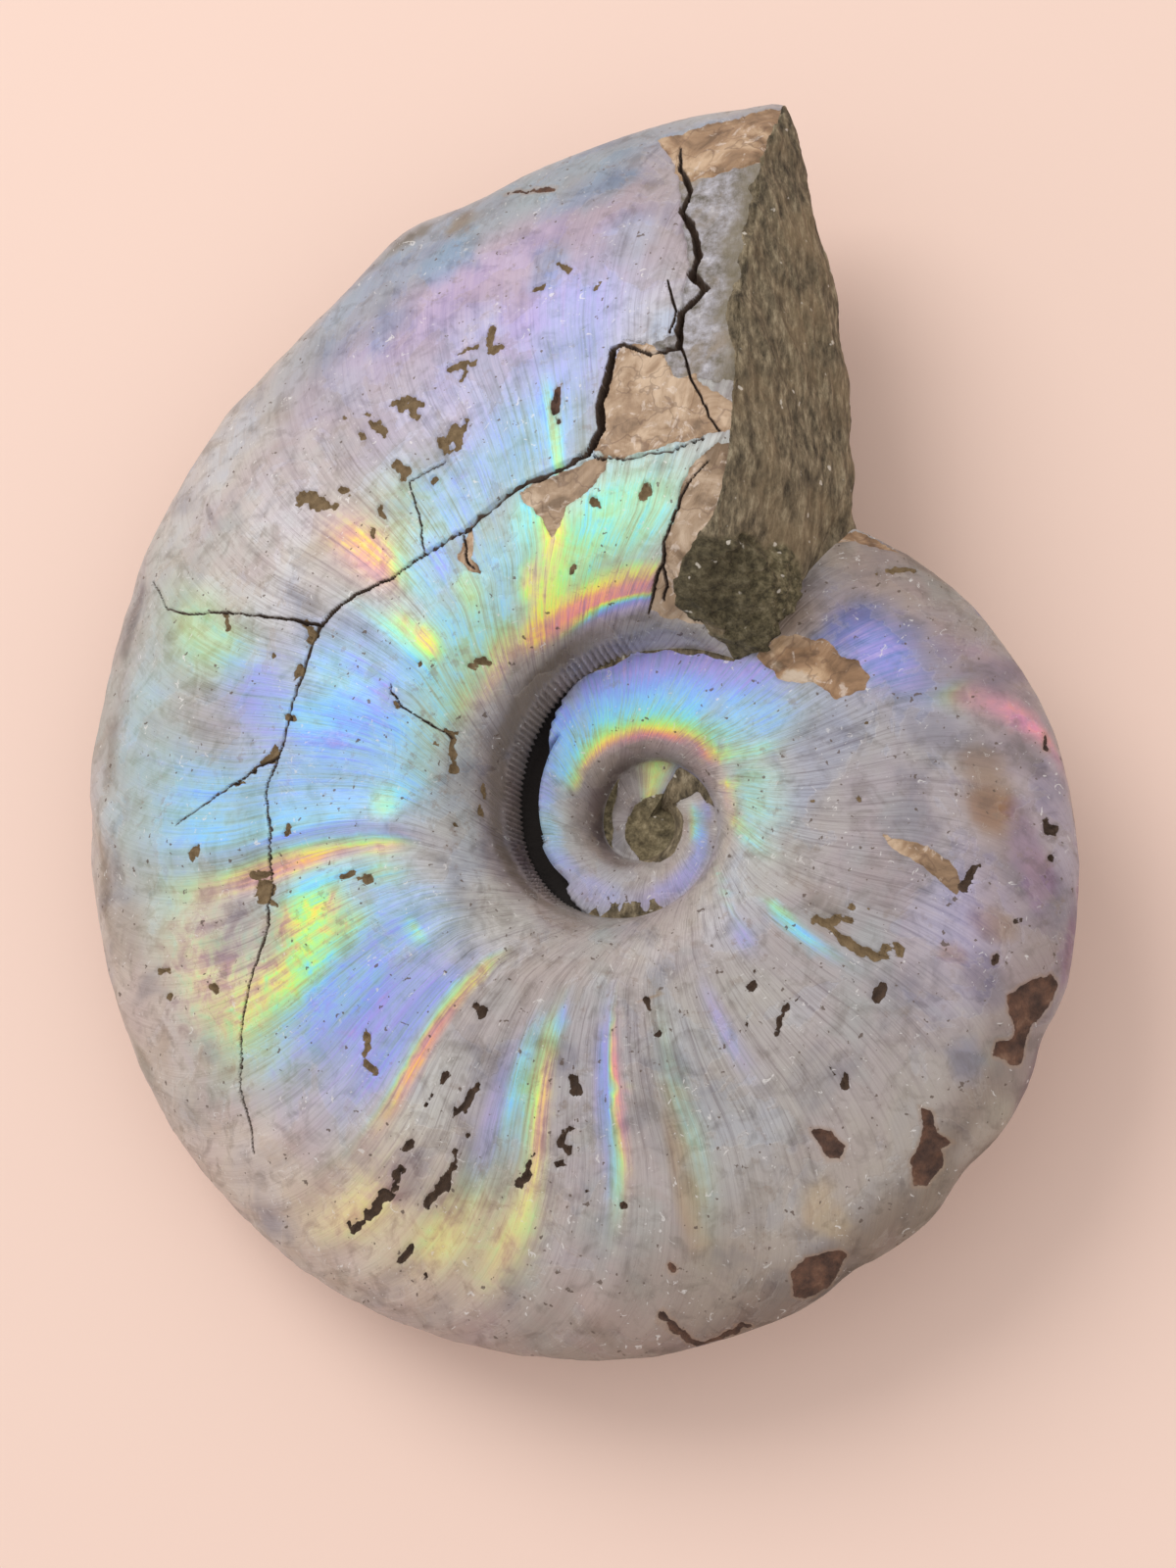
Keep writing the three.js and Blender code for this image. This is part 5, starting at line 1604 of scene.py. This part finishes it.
def wall_bands(n, look, line, flank, cloud, fine):
    """Painted shade in the grooves of the ribs low on the wall round the umbilicus, and a darker
    brown band above them.
    """
    groove, _, _ = n.parts("ribs")
    along = n.times(n.step(line, 78.0, 98.0),
                   n.rest(n.step(line, 205.0, 250.0)))
    # Painted shade darkens the grooves between the ribs.
    look = n.mix(n.times(groove, 0.4), look, colour((0.33, 0.28, 0.26)))
    line_at = n.plus(flank, centred(n, cloud, 26.0))
    band = n.times(n.step(line_at, -66.0, -61.0),
                  n.rest(n.step(line_at, -56.0, -50.0)))
    band = n.times(band, n.times(along, n.spread(fine, 0.3, 0.6, 0.2, 0.8)))
    return n.mix(band, look, colour((0.36, 0.3, 0.23)))


def worn_film(n, place, look, strength):
    """The pale matt outer coat that is left in patches, its edges, dirt and scratches."""
    patches = n.noise(place, 95.0, 6.0, 0.6, 0.5)
    held = n.plus(patches, n.times(strength, -0.16))
    coat = n.step(held, 0.475, 0.495)
    edge = n.times(n.step(held, 0.466, 0.478),
                  n.rest(n.step(held, 0.48, 0.494)))
    pale = n.mix(1.0, look, colour((0.98, 0.955, 0.93)), "MULTIPLY")
    pale = n.mix(0.16, pale, colour((0.76, 0.73, 0.7)))
    look = n.mix(n.times(coat, n.spread(strength, 0.3, 1.0, 0.75, 0.12)), look, pale)
    look = n.mix(n.times(edge, 0.1), look, colour((0.86, 0.82, 0.78)))
    grime = n.noise(place, 640.0, 5.0, 0.7)
    where = n.step(n.noise(place, 70.0, 3.0, 0.6), 0.42, 0.66)
    dirt = n.times(n.step(grime, 0.56, 0.66), n.spread(where, 0, 1, 0.12, 0.5))
    look = n.mix(dirt, look, colour((0.52, 0.45, 0.4)))
    specks = n.noise(place, 1250.0, 2.0, 0.5)
    look = n.mix(n.times(n.step(specks, 0.69, 0.73), 0.85), look,
                 colour((0.36, 0.3, 0.26)))
    chips = n.noise(place, 900.0, 3.0, 0.6, 1.5)
    light = n.times(n.step(chips, 0.66, 0.7), n.spread(where, 0, 1, 0.6, 0.25))
    return n.mix(light, look, colour((0.9, 0.89, 0.88))), coat


def stone_colour(n, place):
    """Olive sandstone: light and dark grains with white specks."""
    _, lump, _ = n.parts("extra")
    _, coarse, _ = n.parts("more")
    long_way = n.add("ShaderNodeMapping", {"Vector": place, "Scale": (1.0, 0.32, 1.0)}).outputs[0]
    fibres = n.noise(long_way, 1150.0, 5.0, 0.72)
    grains = n.noise(place, 1000.0, 4.0, 0.72)
    texture = n.add("ShaderNodeMix", {0: coarse, 2: fibres, 3: grains},
                    data_type="FLOAT").outputs[0]
    body = n.ramp(texture, [
        (0.34, (0.24, 0.21, 0.16)), (0.45, (0.38, 0.34, 0.27)), (0.55, (0.5, 0.45, 0.36)),
        (0.68, (0.66, 0.61, 0.51))])
    broad = n.noise(place, 130.0, 4.0, 0.6)
    body = n.mix(n.times(n.step(broad, 0.44, 0.7), 0.45), body,
                 colour((0.58, 0.5, 0.38)))
    olive = n.ramp(grains, [
        (0.32, (0.2, 0.18, 0.12)), (0.45, (0.36, 0.33, 0.24)), (0.57, (0.49, 0.45, 0.34)),
        (0.7, (0.62, 0.58, 0.47))])
    body = n.mix(coarse, body, olive)
    body = n.mix(n.times(lump, 0.55), body, colour((0.21, 0.18, 0.13)))
    specks = n.noise(place, 700.0, 2.0, 0.4)
    white = n.times(n.step(specks, 0.7, 0.74), 0.8)
    return n.mix(white, body, colour((0.82, 0.79, 0.74))), texture


def calcite_colour(n, place):
    """Tan to caramel calcite, clouded, with pale crazing."""
    tone, _, _ = n.parts("extra")
    clouds = n.noise(place, 190.0, 5.0, 0.6, 0.8)
    flecks = n.noise(place, 480.0, 4.0, 0.65, 1.2)
    dark = n.ramp(clouds, [(0.36, (0.42, 0.31, 0.21)), (0.48, (0.6, 0.46, 0.33)),
                           (0.62, (0.77, 0.64, 0.5))])
    pale = n.ramp(clouds, [(0.36, (0.54, 0.46, 0.37)), (0.48, (0.67, 0.59, 0.5)),
                           (0.62, (0.8, 0.74, 0.67))])
    body = n.mix(tone, dark, pale)
    body = n.mix(n.times(n.step(flecks, 0.56, 0.66), 0.55), body,
                 colour((0.87, 0.81, 0.76)))
    ridge = n.math("ABSOLUTE", centred(n, n.noise(place, 210.0, 3.0, 0.5, 0.3), 1.0))
    vein = n.rest(n.step(ridge, 0.004, 0.016))
    return n.mix(n.times(vein, 0.4), body, colour((0.36, 0.26, 0.2)))


def bare_colour(n, place):
    """The grey, pitted layer under the lost nacre, with white crystals, olive near the stone."""
    _, _, mouth = n.parts("more")
    grains = n.noise(place, 620.0, 5.0, 0.7)
    body = n.ramp(grains, [
        (0.34, (0.43, 0.41, 0.37)), (0.48, (0.6, 0.58, 0.58)), (0.6, (0.7, 0.69, 0.72)),
        (0.72, (0.84, 0.83, 0.84))])
    broad = n.noise(place, 120.0, 4.0, 0.6, 0.4)
    body = n.mix(n.times(n.step(broad, 0.48, 0.64), 0.7), body,
                 colour((0.6, 0.54, 0.46)))
    near = n.plus(mouth, centred(n, broad, 9.0))
    olive = n.rest(n.step(near, 0.5, 3.2))
    return n.mix(n.times(olive, 0.75), body, colour((0.5, 0.46, 0.37)))


def pit_colours(n, place):
    """Stone in the pits, darker in the strings of scars, and rusty brown iron stain."""
    dark, _, _ = n.parts("more")
    grains = n.noise(place, 900.0, 3.0, 0.6)
    olive = n.mix(grains, colour((0.33, 0.26, 0.17)), colour((0.62, 0.53, 0.4)))
    black = n.mix(grains, colour((0.1, 0.09, 0.1)), colour((0.4, 0.31, 0.24)))
    rusty = n.ramp(n.noise(place, 420.0, 4.0, 0.65), [
        (0.34, (0.25, 0.19, 0.17)), (0.48, (0.35, 0.26, 0.22)), (0.6, (0.44, 0.32, 0.26)),
        (0.74, (0.56, 0.44, 0.36))])
    return n.mix(dark, olive, black), rusty


def layer_shares(n, place):
    """How much of each layer shows, from 0 to 1, with ragged edges."""
    crack, pit, rust = n.parts("cuts")
    calcite, stone, bare = n.parts("coats")
    ragged = centred(n, n.noise(place, 1600.0, 3.0, 0.6), 0.3)
    edges = {"bare": (bare, 0.04), "calcite": (calcite, 0.03), "rust": (rust, 0.04),
             "stone": (stone, 0.03)}
    shares = {name: n.step(n.plus(value, ragged), -soft, soft)
              for name, (value, soft) in edges.items()}
    shares["pit"] = n.step(n.plus(pit, ragged), -0.04, 0.02)
    shares["crack"] = n.step(crack, -0.12, -0.02)
    return shares


def layered_look(n, place, nacre, rock, shares, crevice_shade):
    """Nacre, then what lies under or over it, down to the dark cracks, and the crevice's painted
    shade.
    """
    crack, _, rust = n.parts("cuts")
    pitted, rusty = pit_colours(n, place)
    rim = n.times(n.step(rust, -0.5, 0.0), 0.4)
    look = n.mix(shares["bare"], nacre, bare_colour(n, place))
    look = n.mix(shares["calcite"], look, calcite_colour(n, place))
    look = n.mix(rim, look, colour(RUST_RIM))
    look = n.mix(shares["pit"], look, pitted)
    look = n.mix(shares["rust"], look, rusty)
    look = n.mix(shares["stone"], look, rock)
    depth = n.mix(n.step(crack, 0.0, 0.2), colour(THIN_CRACK), colour(BROWN))
    look = n.mix(shares["crack"], look, depth)
    # Painted shade darkens the open crevice.
    return n.mix(crevice_shade, look, colour(TRENCH_PAINTED_SHADE))


def dullness(n, shares, coat, crevice_shade):
    """Where the surface is bare stone, and where it is at least half matt."""
    dull = shares["bare"]
    for name in ("pit", "rust", "stone", "crack"):
        dull = n.math("MAXIMUM", dull, shares[name])
    matt = n.math("MAXIMUM", dull, n.times(shares["calcite"], 0.4))
    matt = n.math("MAXIMUM", matt, n.times(coat, 0.25))
    return dull, n.math("MAXIMUM", matt, crevice_shade)


def fine_relief(n, streak, fine, mottle, coat, grain, dull):
    """Bump of the growth lines on the shell and of the grain on the stone."""
    lines = n.times(n.plus(streak, n.times(fine, 0.7)), 0.9)
    relief = n.times(lines, n.rest(dull))
    coarse = n.times(grain, n.times(dull, 4.2))
    skin = n.plus(n.times(mottle, 0.45), n.times(coat, 0.3))
    height = n.plus(n.plus(relief, coarse), skin)
    bump = n.add("ShaderNodeBump", {"Height": height, "Strength": 0.6, "Distance": 0.00022})
    return bump.outputs[0]


def fossil_material():
    """Nacre, calcite and stone in one material, told apart by the mesh's attributes."""
    n = Nodes("fossil")
    place = n.add("ShaderNodeTexCoord").outputs["Object"]
    _, _, crevice_shade = n.parts("extra")
    _, strength, _ = n.parts("sheen")
    nacre, streak, fine, mottle = nacre_colour(n, place)
    nacre, coat = worn_film(n, place, nacre, strength)
    rock, grain = stone_colour(n, place)
    shares = layer_shares(n, place)
    look = layered_look(n, place, nacre, rock, shares, crevice_shade)
    dull, matt = dullness(n, shares, coat, crevice_shade)
    shine = n.rest(matt)
    shader = n.add("ShaderNodeBsdfPrincipled", {
        "Base Color": look, "Roughness": n.spread(matt, 0, 1, 0.42, 0.92),
        "Normal": fine_relief(n, streak, fine, mottle, coat, grain, dull),
        "Metallic": n.times(shine, 0.06),
        "Coat Weight": n.times(shine, 0.16),
        "Coat Roughness": 0.3, "Specular IOR Level": 0.4})
    n.add("ShaderNodeOutputMaterial", {"Surface": shader.outputs[0]})
    return n.material


def add_fossil():
    """One piece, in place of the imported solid."""
    fossil = bpy.data.objects.new("ammonite_fossil", build_mesh())
    bpy.context.scene.collection.objects.link(fossil)
    fossil.data.materials.append(fossil_material())
    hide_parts("ammonite")
    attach(fossil, "root")


def add_camera():
    """The photograph's camera, carried along as the coil is laid down."""
    right, up, back, offset = camera_axes()
    place = back * DISTANCE - right * offset[0] - up * offset[1]
    basis = Matrix((right, up, back)).transposed().to_4x4()
    basis.translation = Vector(place)
    pose = Matrix.Translation(Vector(AXIS_AT)) @ lean(4) @ basis
    pose.translation *= MM
    data = bpy.data.cameras.new("camera")
    data.sensor_width = SENSOR
    data.lens = SENSOR * SCALE * DISTANCE / IMAGE[1]
    data.clip_start = 0.01
    camera = bpy.data.objects.new("camera", data)
    camera.matrix_world = pose
    bpy.context.scene.collection.objects.link(camera)
    bpy.context.scene.camera = camera


def add_floor():
    """A plain pale floor."""
    mesh = bpy.data.meshes.new("floor")
    corners = [(x * FLOOR_HALF, y * FLOOR_HALF, 0) for x, y in ((-1, -1), (1, -1), (1, 1), (-1, 1))]
    mesh.from_pydata(corners, [], [(0, 1, 2, 3)])
    floor = bpy.data.objects.new("floor", mesh)
    bpy.context.scene.collection.objects.link(floor)
    n = Nodes("floor")
    shader = n.add("ShaderNodeBsdfPrincipled", {
        "Base Color": colour(FLOOR_COLOUR), "Roughness": 0.9, "Specular IOR Level": 0.2})
    n.add("ShaderNodeOutputMaterial", {"Surface": shader.outputs[0]})
    mesh.materials.append(n.material)


def add_light(name, place, size, power, tone):
    """A round soft light aimed at the fossil."""
    data = bpy.data.lights.new(name, "AREA")
    data.shape = "DISK"
    data.size = size
    data.energy = power
    data.color = tone
    light = bpy.data.objects.new(name, data)
    light.location = place
    light.rotation_mode = "QUATERNION"
    light.rotation_quaternion = (-Vector(place)).to_track_quat("-Z", "Y")
    bpy.context.scene.collection.objects.link(light)


def add_lights():
    """The lights and an even, soft sky."""
    for name, place, size, power, tone in LIGHTS:
        add_light(name, place, size, power, tone)
    world = bpy.data.worlds.new("world")
    world.use_nodes = True
    background = world.node_tree.nodes["Background"]
    background.inputs["Color"].default_value = colour(SKY_COLOUR)
    background.inputs["Strength"].default_value = SKY_STRENGTH
    bpy.context.scene.world = world
    bpy.context.scene.view_settings.view_transform = "Standard"


add_fossil()
add_floor()
add_lights()
add_camera()
